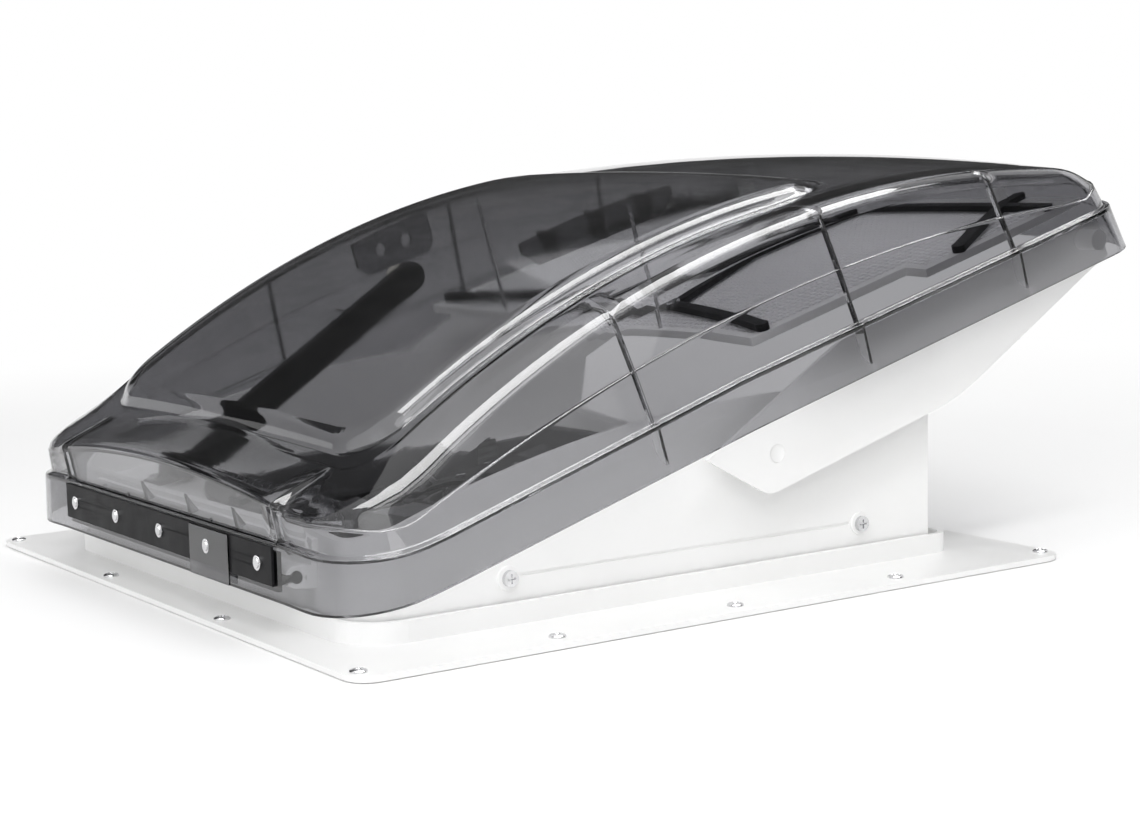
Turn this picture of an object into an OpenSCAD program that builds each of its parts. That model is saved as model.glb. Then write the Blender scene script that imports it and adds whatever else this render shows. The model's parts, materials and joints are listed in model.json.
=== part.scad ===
// Powered caravan roof vent with a hinged smoke lid, drawn with the lid open.
// Millimetres. X runs from the hinge end to the exhaust end, Z is up.
// The origin is the middle of the underside of the roof flange.

/* [Roof flange] */
// Side of the square flange
flange_side = 457; // [450:1:470]
// Thickness of the flange plate
flange_t = 3; // [2.5:0.25:3.5]
// Corner radius of the flange
flange_r = 13; // [6:1:14]
// Height of the collar above the plate
collar_h = 11; // [8:1:12]
// Wall of the collar
collar_wall = 3.5; // [2.5:0.5:4]
// Space between the collar and the base at the front and sides
collar_gap = 1.5; // [1:0.25:2]
// Space between the collar and the base at the rear
collar_rear_gap = 11.5; // [8:0.5:13]
// Width of the ledge that the base stands on
ledge_w = 10; // [8:0.5:11]
// Distance of the screw rows from the front and rear edges
screw_edge_x = 7.5; // [6:0.5:9]
// Distance of the screw rows from the side edges
screw_edge_y = 12.5; // [8:0.5:16]
// Radius of the flange screw holes
screw_hole_r = 2.3; // [1.8:0.1:2.8]
// Spaces between the screws along a side
side_screw_spaces = 4; // [3:1:6]
// Spaces between the screws along the front and the rear
end_screw_spaces = 3; // [2:1:5]

/* [Base housing] */
// Length of the base
base_l = 370; // [367:1:373]
// Width of the base
base_w = 350; // [348:1:352]
// Middle of the base along X
base_x = -12; // [-13:0.5:-11]
// Wall of the base
base_wall = 3; // [2.5:0.25:3.5]
// Radius of the front corners of the base
base_r = 24; // [15:1:30]
// Thickness of the seal under the base
seal_t = 2; // [1.5:0.25:2.5]
// Height of the deck's underside above the roof
deck_z = 40; // [39.5:0.25:40.5]
// Thickness of the deck
deck_t = 3; // [2.5:0.25:3.25]
// Height of the side fixing screws above the roof
side_screw_z = 26; // [23:1:29]
// Front side fixing screws along X
side_screw_front = -112; // [-115:1:-100]
// Rear side fixing screws along X
side_screw_rear = 121; // [105:1:130]

/* [Lid] */
// Length of the lid
lid_l = 550; // [547:1:556]
// Width of the lid
lid_w = 414; // [412:1:420]
// Wall of the lid
lid_t = 3; // [2.5:0.25:3.25]
// Reach of the lid in front of the base
lid_reach = 21.4; // [21:0.2:22.4]
// Height of the closed lid's lower edge above the roof
lid_edge_z = 26; // [25.5:0.25:26.5]
// Height of the skirt
skirt_h = 28; // [27:0.5:29]
// Width of the ledge on top of the skirt
skirt_step = 4; // [3:0.5:5]
// Plan radius of the front corners
lid_front_r = 45; // [40:1:48]
// Plan radius of the rear corners
lid_rear_r = 22; // [16:1:24]
// Rise of the side crease above the skirt
crease_rise = 31; // [30:1:34]
// Rise of the shoulder above the skirt
shoulder_rise = 65; // [63:1:66]
// Rise of the raised top panel above the skirt
panel_rise = 76; // [75:1:80]
// Front edge of the top panel, from the front of the lid
panel_front = 50; // [48:1:51]
// Rear edge of the top panel, from the front of the lid
panel_rear = 370; // [360:1:380]
// Width of the top panel
panel_w = 320; // [312:1:324]
// Opening angle of the lid
open_deg = 16; // [15.5:0.1:16.2]

/* [Hinge] */
// Distance of the hinge line behind the front of the lid
hinge_back = 12.4; // [12.2:0.1:13]
// Height of the hinge line above the roof
hinge_z = 33; // [32.5:0.25:33.5]
// Width of the hinge strip
strip_w = 264; // [240:2:276]
// Height of the hinge strip
strip_h = 20; // [18:0.5:20]
// Radius of the hinge bead
bead_r = 3.2; // [2.6:0.1:3.6]
// Running clearance of every turning fit, on the radius
fit = 0.06; // [0.03:0.01:0.09]
// Number of hinge rivets
rivet_count = 5; // [3:2:7]

/* [Rain shields] */
// Distance of a shield's outer face from the middle
shield_y = 190; // [189:0.5:191]
// Thickness of a shield
shield_t = 2.5; // [2:0.25:3]
// Depth of a shield below the lid's lower edge
shield_drop = 44; // [40:1:45]
// Radius of the shield pivots
shield_pin_r = 3; // [2:0.25:4]

/* [Fan] */
// Space between the fan duct and the sides of the base
shroud_margin = 22; // [21.5:0.5:24]
// Wall of the fan shroud
shroud_wall = 3; // [2:0.25:3]
// Number of fan blades
blade_count = 10; // [5:1:12]
// Width of a fan blade
blade_chord = 42; // [32:1:44]
// Pitch of the fan blades
blade_pitch_deg = 30; // [20:1:31]
// Radius of the fan motor
motor_r = 30; // [26:1:34]
// Radius of the fan shaft
fan_shaft_r = 4; // [3:0.5:5]

/* [Lift] */
// Lift shaft along X
lift_x = -160; // [-160.5:0.25:-159.5]
// Height of the lift shaft above the roof
lift_z = 55; // [54.5:0.25:55.5]
// Radius of the lift shaft
lift_shaft_r = 5; // [4:0.25:5.5]
// Length of the lift arm
arm_l = 187.5; // [186.5:0.25:188]
// Angle of the lift arm with the lid open
arm_deg = 33.2; // [32.8:0.1:33.5]
// Radius of the arm shoe
shoe_r = 7; // [6:0.25:7.5]

/* [Screens] */
// Front edge of the exhaust screen, from the front of the lid
screen_front = 288; // [286:1:292]
// Rear edge of the exhaust screen, from the front of the lid
screen_rear = 531; // [522:1:532]
// Height of the exhaust screen above the lid's lower edge
screen_rise = 30; // [29.75:0.25:31]
// Width of the bars of the exhaust screen
exhaust_bar = 2.4; // [1.6:0.2:4]
// Spacing of the bars of the exhaust screen
exhaust_pitch = 19; // [18.5:0.5:26]
// Width of the bars of the insect screen
insect_bar = 1.6; // [1.2:0.2:3]
// Spacing of the bars of the insect screen
insect_pitch = 17.5; // [17:0.5:26]

/* [Hidden] */
$fn = 48;

// Overlap that keeps cuts and joins clean
eps = 0.5;
// Face clearance between pieces that slide past each other
slide_gap = 0.3;
// Face clearance between pieces that are fixed to each other round a curve
seat_gap = 0.1;

// Base
base_x0 = base_x - base_l / 2;
base_x1 = base_x + base_l / 2;
base_y = base_w / 2;
base_z0 = flange_t + seal_t;
inner_y = base_y - base_wall;
deck_top = deck_z + deck_t;
rear_wall_z = deck_top + 3;

// Screws
screw_r = 2;
screw_head_r = 4.2;
screw_head_h = 2.4;
small_r = 1.6;
small_head_r = 3.2;
small_head_h = 2;
hole_gap = 0.15;
boss_r = 6.5;
boss_h = 1;
groove_h = 1.5;
groove_depth = 0.8;

// Flange
flange_half = flange_side / 2;
collar_top = flange_t + collar_h;
collar_rear_r = collar_rear_gap - 1.5;
screw_x = flange_half - screw_edge_x;
screw_y = flange_half - screw_edge_y;
ear_t = 3;
ear_half = 12;
ear_top = side_screw_z + 10;
ear_y = inner_y - slide_gap - ear_t;
opening_r = 6;

// Fan
shroud_r = min(base_l, base_w) / 2 - shroud_margin;
shroud_out = shroud_r + shroud_wall;
shroud_z0 = base_z0 + 9;
shroud_flange_w = 10;
shroud_flange_t = 3;
shroud_top = deck_top + shroud_flange_t;
shroud_screw_r = shroud_out + shroud_flange_w / 2;
bracket_t = 3;
bracket_top = shroud_top + bracket_t;
bracket_arm_w = 14;
bracket_arms = 3;
motor_bottom = shroud_top - 19;
motor_screw_ring = motor_r - 8;
hub_z = shroud_z0 + 2;
hub_t = 4;
hub_r = motor_r + 12;
hub_wall = 4;
hub_top = hub_z + 20;
blade_t = 2.4;
blade_mid = hub_z + 10;
blade_tip = shroud_r - 3;
nut_r = 7;
nut_h = 2;

// Insect screen and its latches
insect_frame_r = shroud_out - 10;
insect_frame_t = 5;
insect_frame_z = shroud_z0 - insect_frame_t;
latch_ring = shroud_out + 7;
latch_pin_r = 2.5;
latch_t = 2.6;
latch_half = 4;
latch_in = 13;
lug_h = 6;
lug_half = 7;

// Controls
box_l = 56;
box_w = 48;
box_gap = 4;
box_x0 = base_x0 + base_wall + 2.5 * box_gap;
box_x1 = box_x0 + box_l;
box_y1 = inner_y - box_gap;
box_y0 = box_y1 - box_w;
box_wall = 2;
face_t = 3;
face_z = base_z0 + 3;
button_r = 5;
button_step = box_l / 4;
button_y = (box_y0 + box_y1) / 2;
button_travel = 1.5;
board_t = 1.6;
board_z = face_z + 12;

// Lid, in the closed position
lid_x0 = base_x0 - lid_reach;
lid_half = lid_w / 2;
ledge_z = lid_edge_z + skirt_h;
hinge_x = lid_x0 + hinge_back;
edge_dip = 4;
ledge_dip = 8;
dip_end = 250;
dip_run = 190;
crease_mid = 293;
crease_span = 255;
crease_low = 3;
crease_front = 46;
crease_run = 40;
shoulder_mid = 298;
shoulder_sag = 70;
shoulder_low = 16.5;
panel_mid = lid_l / 2;
panel_sag = 63;
panel_crown = 4;
body_crown = 9;
bulge_half = 138;
bulge_rise = 19.5;
bulge_arch = 10.5;
panel_step = 7;
panel_side = lid_half - panel_w / 2;
shoulder_in = 15;
rear_wall_rise = 10;
lean_run = skirt_h / 2 * tan(open_deg);
lean_z = lid_edge_z + skirt_h / 2;
ledge_in = lean_run + skirt_step;

// Hinge
strip_gap = 0.1;
strip_t = 2.5;
strip_deg = atan(2 * lean_run / (skirt_h - lid_t));
strip_x0 = lid_x0 + lid_t + lean_run * lid_t / (skirt_h - lid_t) + strip_gap;
strip_z0 = hinge_z - 4;
cover_t = 1.5;
cover_x1 = lid_x0 - strip_gap;
cover_x0 = cover_x1 - cover_t;
cover_z0 = ledge_z - strip_h - 1;
web_half = 1;
web_x0 = strip_x0 + strip_t / 2 - (lean_z - hinge_z) * tan(strip_deg);
channel_r = 6;
channel_plate = 3;
channel_screw_z = hinge_z + 2 * channel_r;
rivet_z = cover_z0 + strip_h / 2;
rivet_pitch = strip_w / (rivet_count - 0.5);

// Base rim, a curve that stays under the closed lid
rim_top = ledge_z + shoulder_rise - 14;
rim_sag = 98.5;
rim_mid = base_x + 87;
rim_steps = 24;

// Lift
arm_t = 6;
arm_half = 9;
arm_hub_r = 10.5;
arm_hub_side = 3;
shoe_pin_r = 3;
shoe_half = 7;
bearing_y = inner_y - 60;
bearing_half = 6;
arm_y = bearing_y - bearing_half - slide_gap - arm_hub_side - arm_t / 2;
shoe_y = arm_y + arm_t / 2 + eps + shoe_half;
bearing_foot = 18;
bearing_foot_t = 3.5;
bearing_screw_x = 14;
lift_motor_w = 40;
lift_motor_y0 = 4 - inner_y;
lift_motor_y1 = lift_motor_y0 + lift_motor_w;
lift_motor_back = 20;
lift_can_r = 9;
lift_can_l = 26;
shaft_y0 = lift_motor_y0 + lift_motor_w / 2;
shaft_y1 = bearing_y + 2 * bearing_half;
tip_dx = lift_x + arm_l * cos(arm_deg) - hinge_x;
tip_dz = lift_z + arm_l * sin(arm_deg) - hinge_z;
tip_x = hinge_x + tip_dx * cos(open_deg) + tip_dz * sin(open_deg);
tip_z = hinge_z - tip_dx * sin(open_deg) + tip_dz * cos(open_deg);
bracket_gap = 0.8;
lift_bracket_z = tip_z + shoe_r + bracket_gap;
lift_bracket_t = 3;
lift_bracket_l = 56;
lift_bracket_r = 6;
lift_bracket_hole = 4;
lift_bracket_u = tip_x - lid_x0 - lift_bracket_l / 2;

// Rib under the lid's ceiling
rib_v = -62;
rib_u0 = 226;
rib_l = 108;
rib_t = 2.5;
rib_z = ledge_z + 59;
rib_cut = 9;
rib_fins = 3;
rib_fin_first = 20;
rib_fin_step = 34;
fin_half = 10;
fin_low_half = 6;

// Exhaust screen
screen_z = lid_edge_z + screen_rise;
rail = 6;
rail_half = 2.5;
screen_step = base_x1 - lid_x0 + 12;
screen_narrow = inner_y - 6;
screen_wide = shield_y - 7;
brace_w = 7;
brace_t = 4;
brace_z = screen_z + rail_half;
hanger_r = 1.2;
hanger_v = 80;
post_side = 8;
post_u = screen_rear - 20;
post_v = 120;
post_gap = 11;

// Rain shields
shield_pivot_u = lid_l - 32;
shield_pivot_z = hinge_z + 5;
shield_low = lid_edge_z - shield_drop;
shield_h = shield_drop + 23;
shield_tip = [-293, 34];
shield_toe = [-259, 0];
shield_heel = [-116, 1];
shield_tail = [19, 40];
shield_back = [16, shield_h - 4];
shield_top = [-173, -48];
shield_notch = [-186, shield_h - 3];
shield_toe_bend = 6;
shield_heel_bend = 20;
shield_dimple = [-248, 20];
dimple_r = 5;
shield_skirt = lid_t + 0.1;
pivot_shoulder_r = 6;
pivot_clip_r = 5;

// Ring insets of the lid: front, front bulge, rear, side, front radius, rear radius,
// and the inner surface's extra inset and drop
lid_rings = [
    [-lean_run, -lean_run, 0, 0, lid_front_r, lid_rear_r, lid_t, 0],
    [lean_run, lean_run, 7, 0, lid_front_r, lid_rear_r, lid_t, lid_t],
    [ledge_in, lean_run + 2.5, 9, skirt_step, lid_front_r - 3, lid_rear_r - 2, lid_t, lid_t],
    [ledge_in + 1.5, lean_run + 4, 10, skirt_step + 5, lid_front_r - 5, lid_rear_r - 3, lid_t, 1.5],
    [ledge_in + 3, lean_run + 6, 21, shoulder_in, lid_front_r - 9, lid_rear_r - 6, 2.5, 2],
    [43, 43, 40, 40, 26, 18, 1, lid_t],
    [45, 45, 87, 42.5, 25, 20, 0, lid_t],
    [47.5, 47.5, 134, 45, 24, 21, 0, lid_t],
    [panel_front, panel_front, lid_l - panel_rear, panel_side, 22, 22, 2.5, lid_t],
    [panel_front + 5, panel_front + 5, lid_l - panel_rear + 5, panel_side + 5, 20, 20, lid_t, lid_t],
    [80, 80, lid_l - panel_rear + 30, panel_side + 50, 15, 15, 0, lid_t],
    [110, 110, lid_l - panel_rear + 55, panel_side + 100, 10, 10, 0, lid_t],
    [140, 140, lid_l - panel_rear + 80, panel_side + 150, 5, 5, 0, lid_t]
];
panel_ring = 9;
front_stops = [0, bulge_half / 3, bulge_half * 2 / 3, bulge_half - 2, bulge_half + 2];
corner_steps = 6;
side_steps = 18;
rear_steps = 4;

// Heights of the lid's surface at a distance u from its front and v from its middle
function limit(x) = min(1, max(0, x));
function corner_share(v) = pow(limit((abs(v) - bulge_half) / (lid_half - bulge_half)), 2);
function dip_share(u, v) = corner_share(v) * limit((dip_end - u) / dip_run);
function crease_side_z(u, v) = max(ledge_z - ledge_dip * dip_share(u, v) + crease_low
        + rear_wall_rise * limit((u - 0.92 * lid_l) / (0.06 * lid_l)),
    ledge_z + crease_rise * (1 - pow((u - crease_mid) / crease_span, 2)));
function crease_z(u, v) =
    let (front = limit((crease_front - u) / crease_run))
    crease_side_z(u, v) * (1 - front) + (shoulder_z(u) - crease_low) * front;
function shoulder_z(u) = ledge_z
    + max(shoulder_low, shoulder_rise - shoulder_sag * pow((u - shoulder_mid) / shoulder_mid, 2));
function panel_top_z(u, v) = ledge_z + panel_rise - panel_sag * pow((u - panel_mid) / panel_mid, 2)
    + panel_crown * (1 - pow(v / (panel_w / 2), 2));
function body_z(u, v) = max(panel_top_z(u, v) - panel_step,
    shoulder_z(u) + body_crown * (1 - pow(v / (lid_half - shoulder_in), 2)));
function arch_z(v) = ledge_z + bulge_rise + bulge_arch * (1 - pow(v / bulge_half, 2));
function ring_z(k, u, v, bulge) =
    k == 0 ? lid_edge_z - edge_dip * dip_share(u, v) :
    k == 1 ? ledge_z - ledge_dip * dip_share(u, v) :
    k == 2 ? ledge_z - ledge_dip * dip_share(u, v) + 0.4 :
    k == 3 ? (bulge ? arch_z(v) - crease_low : crease_z(u, v)) :
    k == 4 ? (bulge ? arch_z(v) : shoulder_z(u)) :
    k < panel_ring ? (bulge ? max(arch_z(v) + 1.5, body_z(u, v)) : body_z(u, v)) :
    panel_top_z(u, v);

// Half of one ring, from the middle of the front round to the middle of the rear
function ring_half(k, inner) =
    let (r = lid_rings[k])
    let (more = inner ? r[6] : 0)
    let (drop = inner ? r[7] : 0)
    let (u0 = r[0] + more)
    let (u0b = r[1] + more)
    let (u1 = lid_l - r[2] - more)
    let (vh = lid_half - r[3] - more)
    let (rf = max(2, r[4] - more))
    let (rr = max(2, r[5] - more))
    let (fs = min(1, (vh - rf - 0.5) / (bulge_half + 2)))
    let (bow = k == len(lid_rings) - 1 ? 8 : 0)
    let (flat = [
        for (j = [0 : len(front_stops) - 1])
            [(j < 4 ? u0b : u0) - bow * (1 - pow(j / len(front_stops), 2)), front_stops[j] * fs, j < 4],
        for (j = [0 : corner_steps])
            let (a = 90 * j / corner_steps)
            [u0 + rf * (1 - cos(a)), vh - rf * (1 - sin(a)), false],
        for (j = [1 : side_steps - 1])
            [u0 + rf + (u1 - rr - u0 - rf) * j / side_steps, vh, false],
        for (j = [0 : corner_steps])
            let (a = 90 * j / corner_steps)
            [u1 - rr * (1 - sin(a)), vh - rr * (1 - cos(a)), false],
        for (j = [1 : rear_steps])
            [u1 + bow * (1 - pow(1 - j / rear_steps, 2)), (vh - rr) * (1 - j / rear_steps), false]
    ])
    [for (p = flat) [lid_x0 + p[0], p[1], ring_z(k, p[0], p[1], p[2]) - drop]];
function ring(k, inner) =
    let (half = ring_half(k, inner))
    concat(half, [for (j = [len(half) - 2 : -1 : 1]) [half[j][0], -half[j][1], half[j][2]]]);

// Ceiling of the lid's inside
function ceiling_z(u, v) = (u < panel_rear ? panel_top_z(u, v) : body_z(u, v)) - lid_t;

// Base rim height
function rim_z(x) = rim_top - rim_sag * pow((x - rim_mid) / base_l, 2);

// Points round a bent corner b between a and c, reaching d along both sides
function bend(a, b, c, d) =
    let (p = b + d * (a - b) / norm(a - b))
    let (q = b + d * (c - b) / norm(c - b))
    [for (k = [0 : 4]) let (t = k / 4) (1 - t) * (1 - t) * p + 2 * t * (1 - t) * b + t * t * q];

// Point on a circle
function on_ring(r, a) = [r * cos(a), r * sin(a)];

// Turns a piece from the closed to the open position of the lid
module open_pose() {
    translate([hinge_x, 0, hinge_z])
        rotate([0, -open_deg, 0])
            translate([-hinge_x, 0, -hinge_z])
                children();
}

// Draws a profile given in X and Z, from y0 to y1
module across(y0, y1) {
    translate([0, y1, 0])
        rotate([90, 0, 0])
            linear_extrude(y1 - y0)
                children();
}

// Cylinder along Y
module rod_y(x, z, r, y0, y1) {
    translate([x, y0, z])
        rotate([-90, 0, 0])
            cylinder(r = r, h = y1 - y0);
}

// Cylinder along X
module rod_x(y, z, r, x0, x1) {
    translate([x0, y, z])
        rotate([0, 90, 0])
            cylinder(r = r, h = x1 - x0);
}

// Cylinder along Z
module rod_z(x, y, r, z0, z1) {
    translate([x, y, z0])
        cylinder(r = r, h = z1 - z0);
}

// Box between two corners
module box(a, b) {
    translate(a)
        cube(b - a);
}

// Rectangle with round corners
module rounded(x0, x1, half, r) {
    translate([x0 + r, -half])
        square([x1 - x0 - 2 * r, 2 * half]);
    translate([x0, r - half])
        square([x1 - x0, 2 * (half - r)]);
    for (x = [x0 + r, x1 - r], y = [r - half, half - r])
        translate([x, y])
            circle(r = r);
}

// Base outline with round front corners, moved in by d
module base_outline(d) {
    rounded(base_x0 + d, base_x1 - d, base_y - d, max(1, base_r - d));
    translate([base_x, d - base_y])
        square([base_x1 - d - base_x, 2 * (base_y - d)]);
}

// Collar outline, d outside its inner face, with tighter corners at the rear
module collar_outline(d) {
    rear = base_x1 + collar_rear_gap + d;
    half = base_y + collar_gap + d;
    rounded(base_x0 - collar_gap - d, rear, half, base_r + collar_gap + d);
    rounded(base_x, rear, half, collar_rear_r + d);
}

// Flat bar between two points, with ends a little rounder than the bar is wide
module bar(p, q, w) {
    d = q - p;
    translate(p)
        rotate(atan2(d[1], d[0]))
            translate([0, -w / 2])
                square([norm(d), w]);
    for (e = [p, q])
        translate(e)
            circle(d = w + 0.8);
}

// Screw pointing down, head standing on z
module screw_down(x, y, z, depth) {
    difference() {
        rod_z(x, y, small_head_r, z, z + small_head_h);
        for (a = [0, 90])
            translate([x, y, z + small_head_h])
                rotate(a)
                    cube([small_head_r * 1.2, 0.8, 1.6], center = true);
    }
    rod_z(x, y, small_r, z - depth, z + eps);
}

// Plate with screw holes, a collar round the base and ears for the side screws
module mounting_flange() {
    color("white")
        difference() {
            union() {
                linear_extrude(flange_t)
                    rounded(-flange_half, flange_half, flange_half, flange_r);
                linear_extrude(collar_top)
                    collar_outline(collar_wall);
            }
            translate([0, 0, flange_t])
                linear_extrude(collar_top)
                    collar_outline(0);
            translate([0, 0, -eps])
                linear_extrude(flange_t + 2 * eps)
                    rounded(base_x0 + ledge_w, base_x1 - ledge_w, base_y - ledge_w, opening_r);
            for (k = [0 : side_screw_spaces], s = [-1, 1])
                rod_z(screw_x * (2 * k / side_screw_spaces - 1), s * screw_y, screw_hole_r,
                    -eps, flange_t + eps);
            for (k = [1 : end_screw_spaces - 1], s = [-1, 1])
                rod_z(s * screw_x, screw_y * (2 * k / end_screw_spaces - 1), screw_hole_r,
                    -eps, flange_t + eps);
        }
    color("white")
        for (x = [side_screw_front, side_screw_rear], s = [-1, 1])
            difference() {
                translate([x - ear_half, s > 0 ? ear_y : -ear_y - ear_t, flange_t - eps])
                    cube([2 * ear_half, ear_t, ear_top - flange_t + eps]);
                rod_y(x, side_screw_z, screw_r + hole_gap, s * (ear_y + ear_t / 2) - ear_t,
                    s * (ear_y + ear_t / 2) + ear_t);
            }
}

// Foam strip between the flange and the base
module base_seal() {
    color("black")
        translate([0, 0, flange_t])
            linear_extrude(seal_t)
                difference() {
                    base_outline(-0.4);
                    base_outline(base_wall - 0.2);
                }
}

// Walls with a curved rim, a deck with the fan hole, and bosses for the side screws
module base_housing() {
    color("white")
        difference() {
            union() {
                intersection() {
                    translate([0, 0, base_z0])
                        linear_extrude(rim_top)
                            difference() {
                                base_outline(0);
                                base_outline(base_wall);
                            }
                    across(-base_w, base_w)
                        polygon(concat([[base_x1 + eps, base_z0 - eps], [base_x0 - eps, base_z0 - eps]],
                            [for (k = [0 : rim_steps])
                                let (x = base_x0 - eps + (base_l + 2 * eps) * k / rim_steps)
                                [x, rim_z(x)]]));
                }
                translate([0, 0, deck_z])
                    linear_extrude(deck_t)
                        base_outline(base_wall / 2);
                for (x = [side_screw_front, side_screw_rear], s = [-1, 1])
                    rod_y(x, side_screw_z, boss_r, s > 0 ? base_y - eps : -base_y - boss_h,
                        s > 0 ? base_y + boss_h : eps - base_y);
            }
            box([base_x1 - 2 * base_wall, -inner_y, rear_wall_z], [base_x1 + eps, inner_y, rim_top + eps]);
            rod_z(base_x, 0, shroud_out + 1, deck_z - eps, deck_top + eps);
            for (x = [side_screw_front, side_screw_rear])
                rod_y(x, side_screw_z, screw_r + hole_gap, -base_w, base_w);
            for (s = [-1, 1])
                translate([side_screw_front + boss_r + 1, s > 0 ? base_y - groove_depth : -base_y - eps,
                    side_screw_z])
                    cube([side_screw_rear - side_screw_front - 2 * boss_r - 2, groove_depth + eps, groove_h]);
            for (a = [45 : 90 : 315])
                translate([base_x, 0])
                    rod_z(on_ring(shroud_screw_r, a)[0], on_ring(shroud_screw_r, a)[1], small_r + hole_gap,
                        deck_z - eps, deck_top + eps);
            for (k = [0 : bracket_arms - 1])
                translate([base_x, 0])
                    let (p = on_ring(shroud_screw_r, 60 + 360 * k / bracket_arms))
                    rod_z(p[0], p[1], small_r + hole_gap, deck_z - eps, deck_top + eps);
            for (x = [-1, 1], y = [-1, 1])
                rod_z(lift_x + x * bearing_screw_x, y * bearing_y, small_r + hole_gap,
                    deck_z - eps, deck_top + eps);
            for (k = [0 : rivet_count - 1])
                rod_x((k - (rivet_count - 1) / 2) * rivet_pitch, channel_screw_z, small_r + hole_gap,
                    base_x0 - eps, base_x0 + base_wall + eps);
        }
}

// Four cross-head screws that hold the base to the flange ears
module side_screws() {
    color("silver")
        for (x = [side_screw_front, side_screw_rear], s = [-1, 1])
            translate([x, s * (base_y + boss_h), side_screw_z])
                rotate([-90 * s, 0, 0]) {
                    difference() {
                        cylinder(r = screw_head_r, h = screw_head_h);
                        for (a = [0, 90])
                            translate([0, 0, screw_head_h])
                                rotate(a)
                                    cube([screw_head_r * 1.2, 1, 2], center = true);
                    }
                    translate([0, 0, ear_y - base_y - boss_h - 4])
                        cylinder(r = screw_r, h = base_y + boss_h + 4 - ear_y + eps);
                }
}

// Round duct with a flange on the deck and lugs for the screen latches
module fan_shroud() {
    color("dimgray")
        translate([base_x, 0, 0])
            difference() {
                union() {
                    difference() {
                        union() {
                            rod_z(0, 0, shroud_out, shroud_z0, shroud_top);
                            rod_z(0, 0, shroud_out + shroud_flange_w, deck_top, shroud_top);
                            for (a = [0 : 90 : 270])
                                rotate(a)
                                    box([shroud_out - 1.5, -lug_half, shroud_z0],
                                        [latch_ring + 7, lug_half, shroud_z0 + lug_h]);
                        }
                        rod_z(0, 0, shroud_r, shroud_z0 - eps, shroud_top + eps);
                    }
                }
                for (a = [0 : 90 : 270])
                    rotate(a)
                        rod_z(latch_ring, 0, latch_pin_r + fit, shroud_z0 - eps, shroud_z0 + lug_h + eps);
                for (a = [45 : 90 : 315])
                    rotate(a)
                        rod_z(shroud_screw_r, 0, small_r + hole_gap, deck_top - eps, shroud_top + eps);
                for (k = [0 : bracket_arms - 1])
                    rotate(60 + 360 * k / bracket_arms)
                        rod_z(shroud_screw_r, 0, small_r + hole_gap, deck_top - eps, shroud_top + eps);
            }
}

// Four screws through the shroud flange into the deck
module shroud_screws() {
    color("silver")
        for (a = [45 : 90 : 315])
            let (p = on_ring(shroud_screw_r, a))
            screw_down(base_x + p[0], p[1], shroud_top, shroud_flange_t + deck_t + 2);
}

// Three arms over the shroud that carry the motor
module motor_bracket() {
    color("black")
        translate([base_x, 0, shroud_top])
            difference() {
                linear_extrude(bracket_t)
                    union() {
                        circle(r = motor_r + 4);
                        for (k = [0 : bracket_arms - 1])
                            rotate(60 + 360 * k / bracket_arms)
                                translate([0, -bracket_arm_w / 2])
                                    square([shroud_screw_r + 4, bracket_arm_w]);
                    }
                for (k = [0 : bracket_arms - 1])
                    rotate(60 + 360 * k / bracket_arms) {
                        rod_z(shroud_screw_r, 0, small_r + hole_gap, -eps, bracket_t + eps);
                        rod_z(motor_screw_ring, 0, small_r + hole_gap, -eps, bracket_t + eps);
                    }
            }
}

// Screws at the ends of the motor bracket
module bracket_screws() {
    color("silver")
        for (k = [0 : bracket_arms - 1])
            let (p = on_ring(shroud_screw_r, 60 + 360 * k / bracket_arms))
            screw_down(base_x + p[0], p[1], bracket_top, bracket_t + shroud_flange_t + deck_t + 2);
}

// Flat motor under the bracket
module fan_motor() {
    color("silver")
        translate([base_x, 0, 0])
            difference() {
                union() {
                    rod_z(0, 0, motor_r, motor_bottom + 4, shroud_top);
                    rod_z(0, 0, motor_r - 6, motor_bottom, shroud_top);
                }
                rod_z(0, 0, fan_shaft_r + fit, motor_bottom - eps, shroud_top - 4);
                for (k = [0 : bracket_arms - 1])
                    rotate(60 + 360 * k / bracket_arms)
                        rod_z(motor_screw_ring, 0, small_r + hole_gap, shroud_top - 6, shroud_top + eps);
            }
}

// Screws that hold the motor to its bracket
module motor_screws() {
    color("silver")
        for (k = [0 : bracket_arms - 1])
            let (p = on_ring(motor_screw_ring, 60 + 360 * k / bracket_arms))
            screw_down(base_x + p[0], p[1], bracket_top, bracket_t + 5.5);
}

// Shaft from the motor down to the fan hub
module motor_shaft() {
    color("silver")
        rod_z(base_x, 0, fan_shaft_r, hub_z - nut_h, shroud_top - 4 - slide_gap);
}

// Hub cup with pitched blades
module fan_impeller() {
    color("gray")
        translate([base_x, 0, 0]) {
            difference() {
                rod_z(0, 0, hub_r, hub_z, hub_top);
                rod_z(0, 0, hub_r - hub_wall, hub_z + hub_t, hub_top + eps);
                rod_z(0, 0, fan_shaft_r + 0.02, hub_z - eps, hub_z + hub_t + eps);
            }
            difference() {
                intersection() {
                    for (k = [0 : blade_count - 1])
                        rotate(360 * k / blade_count)
                            translate([shroud_r / 2 + hub_r / 2, 0, blade_mid])
                                rotate([blade_pitch_deg, 0, 0])
                                    cube([shroud_r - hub_r + 8, blade_chord, blade_t], center = true);
                    rod_z(0, 0, blade_tip, 0, hub_top + 20);
                }
                rod_z(0, 0, hub_r - hub_wall / 2, 0, hub_top + 20);
            }
        }
}

// Nut under the fan hub
module fan_nut() {
    color("silver")
        difference() {
            translate([base_x, 0, hub_z - nut_h])
                cylinder(r = nut_r, h = nut_h, $fn = 6);
            rod_z(base_x, 0, fan_shaft_r + 0.02, hub_z - nut_h - eps, hub_z + eps);
        }
}

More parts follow.
